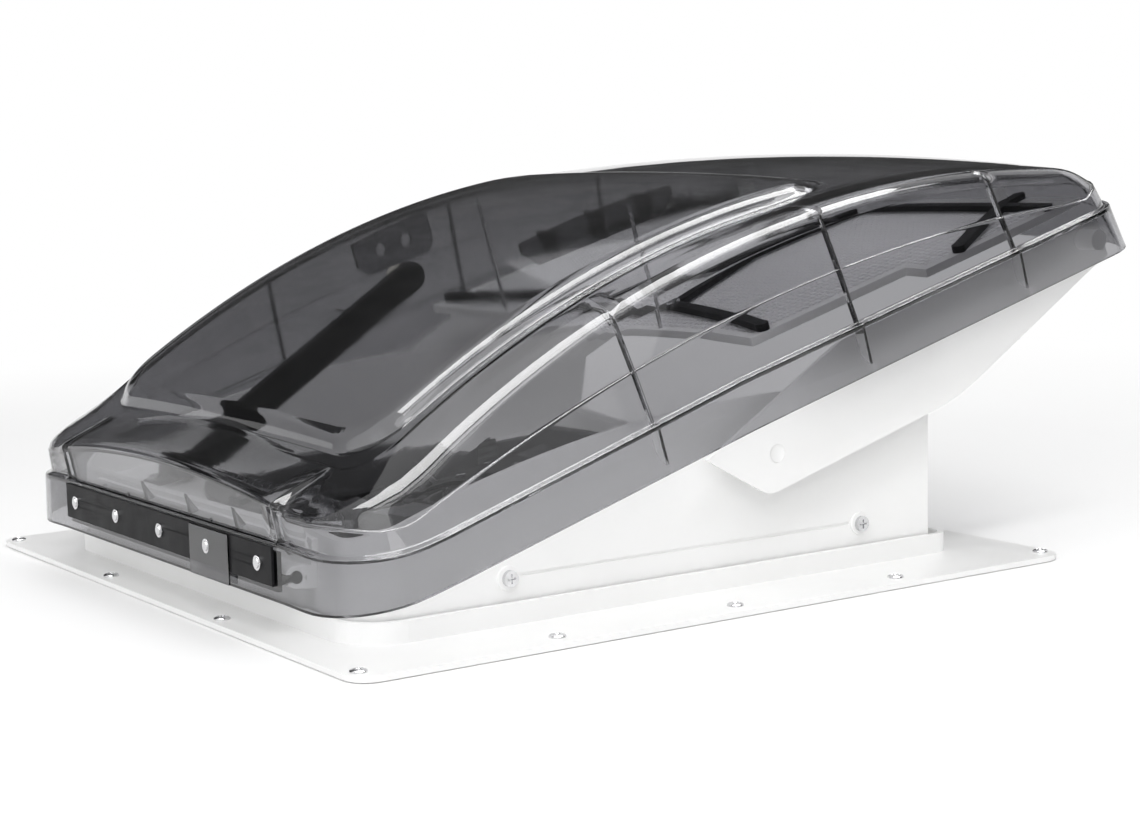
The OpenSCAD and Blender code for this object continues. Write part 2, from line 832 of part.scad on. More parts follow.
// Ring that carries the insect screen under the shroud
module insect_screen_frame() {
    color("white")
        difference() {
            rod_z(base_x, 0, shroud_out, insect_frame_z, shroud_z0);
            rod_z(base_x, 0, insect_frame_r, insect_frame_z - eps, shroud_z0 + eps);
        }
}

// Flat net inside its ring
module insect_screen() {
    r = insect_frame_r - seat_gap;
    n = floor(r / insect_pitch);
    color("gray")
        translate([base_x, 0, insect_frame_z + 2])
            linear_extrude(1)
                union() {
                    intersection() {
                        circle(r = r - 1);
                        union() {
                            for (k = [-n : n]) {
                                translate([k * insect_pitch - insect_bar / 2, -r])
                                    square([insect_bar, 2 * r]);
                                translate([-r, k * insect_pitch - insect_bar / 2])
                                    square([2 * r, insect_bar]);
                            }
                        }
                    }
                    difference() {
                        circle(r = r);
                        circle(r = r - 2);
                    }
                }
}

// Quarter-turn latch number k under the insect screen ring
module screen_latch(k) {
    z1 = insect_frame_z - slide_gap;
    color("dimgray")
        translate([base_x, 0, 0])
            rotate(90 * (k - 1)) {
                translate([0, 0, z1 - latch_t])
                    linear_extrude(latch_t)
                        bar([latch_ring - latch_in, 0], [latch_ring + 2, 0], 2 * latch_half);
                rod_z(latch_ring, 0, latch_pin_r, z1 - eps, shroud_z0 + lug_h + slide_gap + eps);
                rod_z(latch_ring, 0, latch_pin_r + 1, shroud_z0 + lug_h + slide_gap, shroud_z0 + lug_h + 1.6);
            }
}

module screen_latch_1() {
    screen_latch(1);
}

module screen_latch_2() {
    screen_latch(2);
}

module screen_latch_3() {
    screen_latch(3);
}

module screen_latch_4() {
    screen_latch(4);
}

// Box for the electronics under the deck
module control_box() {
    color("white")
        difference() {
            box([box_x0, box_y0, face_z + face_t], [box_x1, box_y1, deck_z]);
            box([box_x0 + box_wall, box_y0 + box_wall, face_z + face_t - eps],
                [box_x1 - box_wall, box_y1 - box_wall, deck_z - box_wall]);
        }
}

// Face of the control box with the button holes
module control_panel() {
    color("lightgray")
        difference() {
            box([box_x0, box_y0, face_z], [box_x1, box_y1, face_z + face_t]);
            for (k = [1 : 3])
                rod_z(box_x0 + k * button_step, button_y, button_r + fit,
                    face_z - eps, face_z + face_t + eps);
        }
}

// Board with one switch above each button
module circuit_board() {
    color("green") {
        box([box_x0 + box_wall + seat_gap, box_y0 + box_wall + seat_gap, board_z],
            [box_x1 - box_wall - seat_gap, box_y1 - box_wall - seat_gap, board_z + board_t]);
        for (k = [1 : 3])
            translate([box_x0 + k * button_step - 3, button_y - 3, board_z - 4])
                cube([6, 6, 4 + eps]);
    }
}

// Button number k, with the collar that keeps it in the panel
module button(k) {
    x = box_x0 + k * button_step;
    z = face_z + face_t + slide_gap;
    color("dimgray") {
        rod_z(x, button_y, button_r, face_z - 1.5, z + eps);
        rod_z(x, button_y, button_r + 1.4, z, z + 2);
        rod_z(x, button_y, 2, z + 1, board_z - 4 - button_travel - 0.1);
    }
}

module button_power() {
    button(1);
}

module button_speed() {
    button(2);
}

module button_lid() {
    button(3);
}

// Channel on the base front wall that holds the hinge bead
module hinge_channel() {
    low = [sin(open_deg), -cos(open_deg)];
    out = [-cos(open_deg), -sin(open_deg)];
    half = web_half + 0.4;
    color("white")
        difference() {
            across(-strip_w / 2, strip_w / 2)
                difference() {
                    union() {
                        translate([hinge_x, hinge_z])
                            circle(r = channel_r);
                        translate([hinge_x, hinge_z - channel_r])
                            square([base_x0 - hinge_x, 2 * channel_r]);
                        translate([base_x0 - channel_plate, hinge_z - channel_r])
                            square([channel_plate, channel_screw_z + 4.5 - hinge_z + channel_r]);
                    }
                    translate([hinge_x, hinge_z]) {
                        circle(r = bead_r + fit);
                        polygon([[0, half], [-2 * channel_r, half], out * 2 * channel_r + low * half,
                            low * half]);
                    }
                }
            for (k = [0 : rivet_count - 1])
                rod_x((k - (rivet_count - 1) / 2) * rivet_pitch, channel_screw_z, small_r + hole_gap,
                    base_x0 - channel_plate - eps, base_x0 + eps);
        }
}

// Screws that hold the hinge channel to the base
module channel_screws() {
    color("silver")
        for (k = [0 : rivet_count - 1])
            translate([base_x0 - channel_plate, (k - (rivet_count - 1) / 2) * rivet_pitch, channel_screw_z])
                rotate([0, -90, 0])
                    screw_down(0, 0, 0, channel_plate + base_wall + 2);
}

// Leans a piece of the lid's front back by the opening angle, so that it stands upright with the lid open
module lean() {
    translate([lid_x0, 0, lean_z])
        rotate([0, open_deg, 0])
            translate([-lid_x0, 0, -lean_z])
                children();
}

// Strip with a web and a round bead along its lower part
module hinge_strip() {
    color("black")
        open_pose()
            difference() {
                across(-strip_w / 2, strip_w / 2)
                    union() {
                        translate([strip_x0, lean_z])
                            rotate(-strip_deg)
                                translate([0, strip_z0 - lean_z])
                                    square([strip_t, strip_h]);
                        translate([web_x0, hinge_z - web_half])
                            square([hinge_x - web_x0, 2 * web_half]);
                        translate([hinge_x, hinge_z])
                            circle(r = bead_r);
                    }
                lean()
                    for (k = [0 : rivet_count - 1])
                        rod_x((k - (rivet_count - 1) / 2) * rivet_pitch, rivet_z, screw_r + 0.03,
                            strip_x0 - eps, strip_x0 + strip_t + eps);
            }
}

// Black band on the outside of the lid, under the rivet heads
module hinge_cover() {
    color("black")
        open_pose()
            lean()
                difference() {
                    box([cover_x0, -strip_w / 2, cover_z0], [cover_x1, strip_w / 2, cover_z0 + strip_h]);
                    for (k = [0 : rivet_count - 1])
                        rod_x((k - (rivet_count - 1) / 2) * rivet_pitch, rivet_z, screw_r + 0.03,
                            cover_x0 - eps, cover_x1 + eps);
                }
}

// Rivets through the band, the lid and the hinge strip
module hinge_rivets() {
    color("silver")
        open_pose()
            lean()
                for (k = [0 : rivet_count - 1]) {
                    y = (k - (rivet_count - 1) / 2) * rivet_pitch;
                    rod_x(y, rivet_z, screw_r, cover_x0 - eps, strip_x0 + strip_t);
                    rod_x(y, rivet_z, screw_head_r - 0.4, cover_x0 - 1, cover_x0);
                    rod_x(y, rivet_z, screw_head_r - 1.6, cover_x0 - 1.6, cover_x0);
                }
}

// Two bearing blocks on the deck
module lift_bearings() {
    color("dimgray")
        for (s = [-1, 1])
            translate([lift_x, s * bearing_y, 0])
                difference() {
                    union() {
                        box([-bearing_foot, -bearing_half, deck_top],
                            [bearing_foot, bearing_half, deck_top + bearing_foot_t]);
                        box([-9, -bearing_half, deck_top], [9, bearing_half, lift_z]);
                        rod_y(0, lift_z, 9, -bearing_half, bearing_half);
                    }
                    rod_y(0, lift_z, lift_shaft_r + fit, -bearing_half - eps, bearing_half + eps);
                    for (x = [-1, 1])
                        rod_z(x * bearing_screw_x, 0, small_r + hole_gap, deck_top - eps,
                            deck_top + bearing_foot_t + eps);
                }
}

// Screws in the bearing feet
module bearing_screws() {
    color("silver")
        for (x = [-1, 1], y = [-1, 1])
            screw_down(lift_x + x * bearing_screw_x, y * bearing_y, deck_top + bearing_foot_t,
                bearing_foot_t + deck_t + 2);
}

// Gearbox and motor that turn the lift shaft
module lift_motor() {
    color("dimgray")
        difference() {
            union() {
                box([lift_x - 7, lift_motor_y0, deck_top],
                    [lift_x + lift_motor_back, lift_motor_y1, lift_z + 8]);
                rod_x((lift_motor_y0 + lift_motor_y1) / 2 - 4, deck_top + lift_can_r + 2, lift_can_r,
                    lift_x + lift_motor_back - eps, lift_x + lift_motor_back + lift_can_l);
            }
            rod_y(lift_x, lift_z, lift_shaft_r + fit, shaft_y0 - slide_gap, lift_motor_y1 + eps);
        }
}

// Cross shaft that carries the lift arm
module lift_shaft() {
    color("silver")
        rod_y(lift_x, lift_z, lift_shaft_r, shaft_y0, shaft_y1);
}

// Lift arm with the pin for its shoe
module lift_arm() {
    y0 = arm_y - arm_t / 2;
    y1 = arm_y + arm_t / 2;
    color("black")
        translate([lift_x, 0, lift_z])
            rotate([0, -arm_deg, 0])
                difference() {
                    union() {
                        rod_y(0, 0, arm_hub_r, y0 - arm_hub_side, y1 + arm_hub_side);
                        box([0, y0, -arm_half], [arm_l, y1, arm_half]);
                        rod_y(arm_l, 0, arm_half, y0, y1);
                        rod_y(arm_l, 0, shoe_pin_r, arm_y, shoe_y + shoe_half + 1);
                    }
                    rod_y(0, 0, lift_shaft_r + 0.02, y0 - arm_hub_side - eps, y1 + arm_hub_side + eps);
                }
}

// Nylon shoe on the arm's pin
module arm_shoe() {
    color("ivory")
        translate([lift_x, 0, lift_z])
            rotate([0, -arm_deg, 0])
                difference() {
                    rod_y(arm_l, 0, shoe_r, shoe_y - shoe_half, shoe_y + shoe_half);
                    rod_y(arm_l, 0, shoe_pin_r + 0.03, shoe_y - shoe_half - eps, shoe_y + shoe_half + eps);
                }
}

// Smoke shell: closed rings from the skirt up to the top panel, outside and inside
module lid() {
    rings = len(lid_rings);
    outer = [for (k = [0 : rings - 1]) each ring(k, false)];
    inner = [for (k = [0 : rings - 1]) each ring(k, true)];
    n = len(outer) / rings;
    m = len(outer);
    last = (rings - 1) * n;
    wall = [for (k = [0 : rings - 2], i = [0 : n - 1])
        let (j = (i + 1) % n)
        each [[k * n + j, k * n + n + j, k * n + n + i], [k * n + j, k * n + n + i, k * n + i]]];
    cap = [
        [last, last + 1, last + n - 1],
        for (i = [1 : n / 2 - 2])
            each [[last + i, last + i + 1, last + n - i - 1], [last + i, last + n - i - 1, last + n - i]],
        [last + n / 2 - 1, last + n / 2, last + n / 2 + 1]
    ];
    edge = [for (i = [0 : n - 1])
        let (j = (i + 1) % n)
        each [[j, i, m + i], [j, m + i, m + j]]];
    outside = concat(wall, cap);
    inside = [for (f = outside) [f[2] + m, f[1] + m, f[0] + m]];
    color([0.25, 0.25, 0.27, 0.6])
        open_pose()
            polyhedron(concat(outer, inner), concat(outside, inside, edge), convexity = 8);
}

// Profile under the lid's ceiling at v, from u0 to u1 and down to z, with its lower corners cut back by r
module under_ceiling(u0, u1, v, z, r) {
    steps = 12;
    polygon(concat([[lid_x0 + u1, z + r], [lid_x0 + u1 - r, z], [lid_x0 + u0 + r, z], [lid_x0 + u0, z + r]],
        [for (k = [0 : steps])
            let (u = u0 + (u1 - u0) * k / steps)
            [lid_x0 + u, ceiling_z(u, v) - 0.7]]));
}

// Plate with two holes that the arm's shoe slides under
module lift_bracket() {
    z = lift_bracket_z + 3 * lift_bracket_hole;
    color([0.3, 0.3, 0.32])
        open_pose()
            difference() {
                across(shoe_y - lift_bracket_t / 2, shoe_y + lift_bracket_t / 2)
                    under_ceiling(lift_bracket_u, lift_bracket_u + lift_bracket_l, shoe_y, lift_bracket_z,
                        lift_bracket_r);
                for (k = [1, 2])
                    rod_y(lid_x0 + lift_bracket_u + k * lift_bracket_l / 3, z, lift_bracket_hole,
                        shoe_y - lift_bracket_t, shoe_y + lift_bracket_t);
            }
}

// Rib with cross fins that taper downwards
module ceiling_rib() {
    color([0.3, 0.3, 0.32])
        open_pose() {
            across(rib_v - rib_t / 2, rib_v + rib_t / 2)
                under_ceiling(rib_u0, rib_u0 + rib_l, rib_v, rib_z, rib_cut);
            for (k = [0 : rib_fins - 1])
                let (u = rib_u0 + rib_fin_first + k * rib_fin_step)
                let (top = ceiling_z(u, abs(rib_v) + fin_half) - 1)
                translate([lid_x0 + u - rib_t / 2, rib_v, 0])
                    rotate([90, 0, 90])
                        linear_extrude(rib_t)
                            polygon([[-fin_low_half, rib_z + 1], [fin_low_half, rib_z + 1], [fin_half, top],
                                [-fin_half, top]]);
        }
}

// Outline of the exhaust screen, moved in by d
module screen_outline(d) {
    translate([lid_x0 + screen_front + d, d - screen_narrow])
        square([screen_rear - screen_front - 2 * d, 2 * (screen_narrow - d)]);
    translate([lid_x0 + screen_step + d, d - screen_wide])
        square([screen_rear - screen_step - 2 * d, 2 * (screen_wide - d)]);
}

// White rails round the exhaust screen, with two posts up to the lid
module screen_frame() {
    color("white")
        open_pose() {
            translate([0, 0, screen_z - rail_half])
                linear_extrude(2 * rail_half)
                    difference() {
                        screen_outline(0);
                        screen_outline(rail);
                    }
            for (s = [-1, 1])
                translate([lid_x0 + screen_rear - post_side, s * post_v - post_side / 2, brace_z - eps])
                    cube([post_side, post_side,
                        ceiling_z(screen_rear, post_v) - post_gap - brace_z + eps]);
        }
}

// Diamond net of the exhaust screen
module exhaust_screen() {
    span = ((screen_rear - screen_front) / 2 + screen_wide) * sin(45);
    n = floor(span / exhaust_pitch);
    color("gray")
        open_pose()
            translate([0, 0, screen_z - 0.5])
                linear_extrude(1)
                    union() {
                        intersection() {
                            screen_outline(rail + 1);
                            translate([lid_x0 + (screen_front + screen_rear) / 2, 0])
                                for (a = [45, -45], k = [-n : n])
                                    rotate(a)
                                        translate([k * exhaust_pitch - exhaust_bar / 2, -span])
                                            square([exhaust_bar, 2 * span]);
                        }
                        difference() {
                            screen_outline(rail + seat_gap);
                            screen_outline(rail + 2);
                        }
                    }
}

// Corners of the brace on the side s
function brace_path(s) = [for (p = [
        [12, screen_narrow - 4], [34, 53], [124, 19], [screen_rear - screen_front - 3, 19]
    ]) [lid_x0 + screen_front + p[0], s * p[1]]];
function corner_brace(s) = [[lid_x0 + screen_step + 30, s * (screen_wide - 3)],
    [lid_x0 + screen_rear - 20, s * (screen_wide - 42)], [lid_x0 + screen_rear - 3, s * (screen_wide - 46)]];

// Black bars on top of the screen frame
module screen_brace() {
    color("black")
        open_pose()
            translate([0, 0, brace_z])
                difference() {
                    linear_extrude(brace_t)
                        union() {
                            for (s = [-1, 1], k = [0 : 2])
                                bar(brace_path(s)[k], brace_path(s)[k + 1], brace_w);
                            for (s = [-1, 1], k = [0 : 1])
                                bar(corner_brace(s)[k], corner_brace(s)[k + 1], brace_w);
                            bar(brace_path(-1)[1], brace_path(1)[1], brace_w);
                            bar([lid_x0 + post_u - 5, 3 - screen_wide],
                                [lid_x0 + post_u - 5, screen_wide - 3], brace_w);
                        }
                    for (s = [-1, 1])
                        rod_z(brace_path(s)[1][0], brace_path(s)[1][1], 2.05, -eps, brace_t + eps);
                }
}

// Rivets at the knees of the brace
module brace_rivets() {
    color("silver")
        open_pose()
            for (s = [-1, 1])
                let (p = brace_path(s)[1]) {
                    rod_z(p[0], p[1], 2, brace_z, brace_z + brace_t + eps);
                    rod_z(p[0], p[1], 4.2, brace_z + brace_t, brace_z + brace_t + 1.6);
                }
}

// Rods from the front rail of the screen frame up to the lid's ceiling
module screen_hangers() {
    u = screen_front + rail / 2;
    color("silver")
        open_pose()
            for (s = [-1, 1])
                rod_z(lid_x0 + u, s * hanger_v, hanger_r, screen_z + rail_half, ceiling_z(u, hanger_v) - 0.7);
}

// Shouldered pins on the lid's skirt that the rain shields turn on
module shield_pivots() {
    x = lid_x0 + shield_pivot_u;
    color("dimgray")
        open_pose()
            for (s = [-1, 1])
                mirror([0, s > 0 ? 0 : 1, 0]) {
                    rod_y(x, shield_pivot_z, pivot_shoulder_r, shield_y + slide_gap, lid_half - shield_skirt);
                    rod_y(x, shield_pivot_z, shield_pin_r, shield_y - shield_t - slide_gap - eps,
                        shield_y + slide_gap + eps);
                    rod_y(x, shield_pivot_z, pivot_clip_r, shield_y - shield_t - slide_gap - 1.8,
                        shield_y - shield_t - slide_gap);
                }
}

// Outline of a rain shield, from its pivot along X and from its lowest line up
shield_shape = concat([shield_tip], bend(shield_tip, shield_toe, shield_heel, shield_toe_bend),
    bend(shield_toe, shield_heel, shield_tail, shield_heel_bend),
    [shield_tail, shield_back, [shield_top[1], shield_h], [shield_top[0], shield_h], shield_notch]);

// Plate on the side s that closes the gap beside the open lid
module rain_shield(s) {
    x = lid_x0 + shield_pivot_u;
    color("white")
        open_pose()
            mirror([0, s > 0 ? 0 : 1, 0])
                difference() {
                    across(shield_y - shield_t, shield_y)
                        polygon([for (p = shield_shape) [x + p[0], shield_low + p[1]]]);
                    rod_y(x, shield_pivot_z, shield_pin_r + fit, shield_y - shield_t - eps, shield_y + eps);
                    rod_y(x + shield_dimple[0], shield_low + shield_dimple[1], dimple_r,
                        shield_y - groove_depth, shield_y + eps);
                }
}

module rain_shield_left() {
    rain_shield(1);
}

module rain_shield_right() {
    rain_shield(-1);
}

mounting_flange();
base_seal();
base_housing();
side_screws();
fan_shroud();
shroud_screws();
motor_bracket();
bracket_screws();
fan_motor();
motor_screws();
motor_shaft();
fan_impeller();
fan_nut();
insect_screen_frame();
insect_screen();
screen_latch_1();
screen_latch_2();
screen_latch_3();
screen_latch_4();
control_box();
control_panel();
circuit_board();
button_power();
button_speed();
button_lid();
hinge_channel();
channel_screws();
hinge_strip();
hinge_cover();
hinge_rivets();
lift_bearings();
bearing_screws();
lift_motor();
lift_shaft();
lift_arm();
arm_shoe();
lid();
lift_bracket();
ceiling_rib();
screen_frame();
exhaust_screen();
screen_brace();
brace_rivets();
screen_hangers();
shield_pivots();
rain_shield_left();
rain_shield_right();
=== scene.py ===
import json
import math

import bpy
from mathutils import Matrix, Vector


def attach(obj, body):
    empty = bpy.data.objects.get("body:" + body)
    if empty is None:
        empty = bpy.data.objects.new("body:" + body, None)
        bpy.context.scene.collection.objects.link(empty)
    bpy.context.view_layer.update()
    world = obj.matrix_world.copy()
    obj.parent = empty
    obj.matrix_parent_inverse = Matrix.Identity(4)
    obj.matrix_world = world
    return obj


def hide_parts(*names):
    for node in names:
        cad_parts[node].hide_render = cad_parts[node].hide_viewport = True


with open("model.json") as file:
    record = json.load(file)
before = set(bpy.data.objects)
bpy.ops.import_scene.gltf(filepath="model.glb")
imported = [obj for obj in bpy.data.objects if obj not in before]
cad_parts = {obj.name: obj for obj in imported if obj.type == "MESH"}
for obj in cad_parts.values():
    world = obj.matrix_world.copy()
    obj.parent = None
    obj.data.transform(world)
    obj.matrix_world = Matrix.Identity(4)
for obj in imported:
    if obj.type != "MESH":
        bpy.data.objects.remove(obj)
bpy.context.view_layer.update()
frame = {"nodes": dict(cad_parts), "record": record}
nodes = frame["nodes"]

MM = 0.001

# Sizes of the CAD model, in millimetres
LID_X0 = -218.4
LID_L = 550.0
LID_HALF = 207.0
LID_T = 3.0
EDGE_Z = 26.0
LEDGE_Z = 54.0
HINGE_X = -206.0
HINGE_Z = 33.0
OPEN_DEG = 16.0
LEAN_RUN = 14.0 * math.tan(math.radians(OPEN_DEG))
LEAN_Z = 40.0
FLANGE_T = 3.0
SCREW_X = 221.0
SCREW_Y = 216.0
SCREEN_FRONT = 288.0
SCREEN_STEP = 403.4
SCREEN_REAR = 531.0
SCREEN_NARROW = 166.0
SCREEN_WIDE = 183.0
SCREEN_Z = 56.0
RAIL = 6.0
BASE_X = -12.0
INSECT_R = 145.9
INSECT_Z = 11.5


def limit(x):
    """x held between 0 and 1."""
    return min(1.0, max(0.0, x))


def opened(p):
    """A point of the closed lid, in millimetres, moved to the open lid, in metres."""
    a = math.radians(OPEN_DEG)
    dx, dz = p[0] - HINGE_X, p[2] - HINGE_Z
    return Vector((HINGE_X + dx * math.cos(a) - dz * math.sin(a), p[1],
                   HINGE_Z + dx * math.sin(a) + dz * math.cos(a))) * MM


def leaned(p):
    """A point of the closed lid's front, leaned back so that it stands upright with the lid open."""
    a = math.radians(OPEN_DEG)
    dx, dz = p[0] - LID_X0, p[2] - LEAN_Z
    return (LID_X0 + dx * math.cos(a) + dz * math.sin(a), p[1], LEAN_Z - dx * math.sin(a) + dz * math.cos(a))


def metres(p):
    """A point in millimetres as a vector in metres."""
    return Vector(p) * MM


def add_mesh(name, points, faces, material, smooth=True):
    """A new object from points in metres."""
    mesh = bpy.data.meshes.new(name)
    mesh.from_pydata([tuple(p) for p in points], [], faces)
    mesh.validate()
    mesh.update()
    if smooth:
        mesh.shade_smooth()
    else:
        mesh.shade_flat()
    mesh.materials.append(material)
    obj = bpy.data.objects.new(name, mesh)
    bpy.context.scene.collection.objects.link(obj)
    return obj


def ring_quads(start, rings, sides):
    """Faces between closed rings of points that follow one another from a start index."""
    quads = []
    for s in range(rings - 1):
        for k in range(sides):
            j = (k + 1) % sides
            low, high = start + s * sides, start + (s + 1) * sides
            quads.append([low + k, low + j, high + j, high + k])
    return quads


# Materials: noise scales, relief and gloss
PLASTIC_CLOUD = 9.0
PLASTIC_GLOSS = 60.0
PLASTIC_RELIEF = 0.0004
METAL_BLOTCH = 150.0
METAL_GLOSS = 400.0
METAL_GRAIN = 900.0
METAL_BUMP = 0.08
METAL_RELIEF = 0.0002
SMOKE_IOR = 1.49
SMOKE_CLOUD = 14.0
SMOKE_ROUGH = (0.015, 0.05)


def new_material(name):
    """A node material with its node tree, its Principled shader and its object coordinates."""
    mat = bpy.data.materials.new(name)
    mat.use_nodes = True
    tree = mat.node_tree
    shader = tree.nodes["Principled BSDF"]
    coords = tree.nodes.new("ShaderNodeTexCoord")
    return mat, tree, shader, coords.outputs["Object"]


def noise(tree, coords, scale, detail=3.0):
    """Noise texture in object space."""
    node = tree.nodes.new("ShaderNodeTexNoise")
    node.inputs["Scale"].default_value = scale
    node.inputs["Detail"].default_value = detail
    tree.links.new(coords, node.inputs["Vector"])
    return node.outputs["Fac"]


def ramp(tree, fac, low, high, start=0.3, end=0.7):
    """Colour ramp between two colours or greys."""
    node = tree.nodes.new("ShaderNodeValToRGB")
    node.color_ramp.elements[0].position = start
    node.color_ramp.elements[1].position = end
    for element, value in zip(node.color_ramp.elements, (low, high)):
        colour = value if isinstance(value, tuple) else (value, value, value)
        element.color = (*colour, 1.0)
    tree.links.new(fac, node.inputs["Fac"])
    return node.outputs["Color"]


def bump(tree, shader, height, strength, distance):
    """Fine relief on a shader."""
    node = tree.nodes.new("ShaderNodeBump")
    node.inputs["Strength"].default_value = strength
    node.inputs["Distance"].default_value = distance
    tree.links.new(height, node.inputs["Height"])
    tree.links.new(node.outputs["Normal"], shader.inputs["Normal"])


def plastic(name, dark, light, rough_low, rough_high, grain, relief, sheen=0.5):
    """Moulded plastic: cloudy colour, uneven gloss and a fine grain."""
    mat, tree, shader, coords = new_material(name)
    shader.inputs["Specular IOR Level"].default_value = sheen
    tree.links.new(ramp(tree, noise(tree, coords, PLASTIC_CLOUD), dark, light), shader.inputs["Base Color"])
    tree.links.new(ramp(tree, noise(tree, coords, PLASTIC_GLOSS), rough_low, rough_high),
                   shader.inputs["Roughness"])
    bump(tree, shader, noise(tree, coords, grain, 2.0), relief, PLASTIC_RELIEF)
    return mat


def metal(name, dark, light, rough_low, rough_high):
    """Bright metal with faint blotches."""
    mat, tree, shader, coords = new_material(name)
    shader.inputs["Metallic"].default_value = 1.0
    tree.links.new(ramp(tree, noise(tree, coords, METAL_BLOTCH), dark, light), shader.inputs["Base Color"])
    tree.links.new(ramp(tree, noise(tree, coords, METAL_GLOSS), rough_low, rough_high),
                   shader.inputs["Roughness"])
    bump(tree, shader, noise(tree, coords, METAL_GRAIN), METAL_BUMP, METAL_RELIEF)
    return mat


# Directions along the open lid and up from it, and the runs along them on which the rear of its skirt begins,
# in metres
LID_ALONG = (math.cos(math.radians(OPEN_DEG)), 0.0, math.sin(math.radians(OPEN_DEG)))
LID_UP = (-math.sin(math.radians(OPEN_DEG)), 0.0, math.cos(math.radians(OPEN_DEG)))
SKIRT_REAR = (0.079, 0.129)
SKIRT_TOP = (0.1555, 0.1255)


def share_along(tree, coords, direction, run):
    """Share from 0 to 1 of a run along a direction in object space."""
    place = tree.nodes.new("ShaderNodeVectorMath")
    place.operation = "DOT_PRODUCT"
    place.inputs[1].default_value = direction
    tree.links.new(coords, place.inputs[0])
    share = tree.nodes.new("ShaderNodeMapRange")
    share.inputs["From Min"].default_value = run[0]
    share.inputs["From Max"].default_value = run[1]
    tree.links.new(place.outputs["Value"], share.inputs["Value"])
    return share.outputs["Result"]


def combine(tree, operation, a, b):
    """Two values joined by a maths operation."""
    node = tree.nodes.new("ShaderNodeMath")
    node.operation = operation
    tree.links.new(a, node.inputs[0])
    tree.links.new(b, node.inputs[1])
    return node.outputs["Value"]


def smoke(name, tint, shadow, skirt_shadow):
    """Glossy see-through plastic that lets lamp light and soft light through, but less at the rear of the skirt."""
    mat, tree, shader, coords = new_material(name)
    shader.inputs["Base Color"].default_value = (*tint, 1.0)
    shader.inputs["Transmission Weight"].default_value = 1.0
    shader.inputs["IOR"].default_value = SMOKE_IOR
    tree.links.new(ramp(tree, noise(tree, coords, SMOKE_CLOUD), *SMOKE_ROUGH), shader.inputs["Roughness"])
    clear = tree.nodes.new("ShaderNodeBsdfTransparent")
    rear = share_along(tree, coords, LID_ALONG, SKIRT_REAR)
    low = share_along(tree, coords, LID_UP, SKIRT_TOP)
    behind = combine(tree, "MULTIPLY", rear, low)
    tree.links.new(ramp(tree, behind, shadow, skirt_shadow, 0.0, 1.0), clear.inputs["Color"])
    path = tree.nodes.new("ShaderNodeLightPath")
    soft = combine(tree, "MAXIMUM", path.outputs["Is Shadow Ray"], path.outputs["Is Diffuse Ray"])
    mix = tree.nodes.new("ShaderNodeMixShader")
    tree.links.new(soft, mix.inputs["Fac"])
    tree.links.new(shader.outputs["BSDF"], mix.inputs[1])
    tree.links.new(clear.outputs["BSDF"], mix.inputs[2])
    tree.links.new(mix.outputs["Shader"], tree.nodes["Material Output"].inputs["Surface"])
    return mat


WHITE = plastic("white_moulded_plastic", (0.86, 0.86, 0.855), (0.9, 0.9, 0.895), 0.3, 0.42, 1400.0, 0.05)
BLACK = plastic("black_moulded_plastic", (0.006, 0.006, 0.007), (0.012, 0.012, 0.013), 0.35, 0.5, 1600.0, 0.1,
                sheen=0.1)
GREY = plastic("grey_moulded_plastic", (0.07, 0.07, 0.072), (0.09, 0.09, 0.093), 0.4, 0.55, 1500.0, 0.1)
FOAM = plastic("black_foam", (0.015, 0.015, 0.015), (0.03, 0.03, 0.03), 0.8, 0.95, 2200.0, 0.6)
NYLON = plastic("natural_nylon", (0.78, 0.75, 0.66), (0.84, 0.81, 0.72), 0.35, 0.5, 1200.0, 0.05)
BOARD = plastic("circuit_board_green", (0.02, 0.16, 0.06), (0.03, 0.2, 0.08), 0.35, 0.5, 1500.0, 0.1)
STEEL = metal("bright_plated_steel", (0.6, 0.6, 0.61), (0.76, 0.76, 0.77), 0.16, 0.3)
MESH_METAL = plastic("coated_grey_wire", (0.8, 0.8, 0.81), (0.9, 0.9, 0.91), 0.25, 0.4, 900.0, 0.05)
SMOKE = smoke("smoke_plastic", (0.36, 0.36, 0.375), (0.92, 0.92, 0.925), (0.5, 0.5, 0.51))
RIB_SMOKE = smoke("dark_smoke_plastic", (0.2, 0.2, 0.21), (0.85, 0.85, 0.855), (0.85, 0.85, 0.855))

SLOT_MATERIALS = {
    "white_plastic": WHITE, "smoke_plastic": SMOKE, "black_plastic": BLACK, "grey_plastic": GREY, "steel": STEEL,
    "mesh_metal": MESH_METAL, "foam": FOAM, "nylon": NYLON, "board": BOARD,
}

# Lid shell, in millimetres: u runs from the front to the rear and v across
CREASE_MID = 293.0
CREASE_SPAN = 255.0
CREASE_IN = 9.0
CREASE_LOW = 3.0
CREASE_FRONT = 46.0
CREASE_RUN = 40.0
CREASE_LIP = 0.8
CREASE_LIP_RISE = 0.5
CREASE_RISE = 31.0
CREASE_REAR_LIFT = 10.0
CREASE_REAR_START = 0.92
CREASE_REAR_RUN = 0.06
SHOULDER_MID = 298.0
SHOULDER_IN = 15.0
SHOULDER_LOW = 16.5
SHOULDER_RISE = 65.0
SHOULDER_FALL = 70.0
BODY_CROWN = 9.0
BODY_OVER_ARCH = 1.5
ARCH_RISE = 19.5
ARCH_CROWN = 10.5
EDGE_DIP = 4.0
LEDGE_DIP = 8.0
LEDGE_IN = 4.0
LEDGE_STEP = 0.4
DIP_END = 250.0
DIP_RUN = 190.0
PANEL_STEP = 7.0
PANEL_HALF = 160.0
PANEL_RISE = 76.0
PANEL_FALL = 63.0
PANEL_CROWN = 4.0
PANEL_BOW = 8.0
BULGE_HALF = 138.0
BULGE_BLEND = 2.0
BULGE_STOPS = 12
CORNER_STEPS = 10
CORNER_GAP = 0.5
CORNER_MIN = 2.0
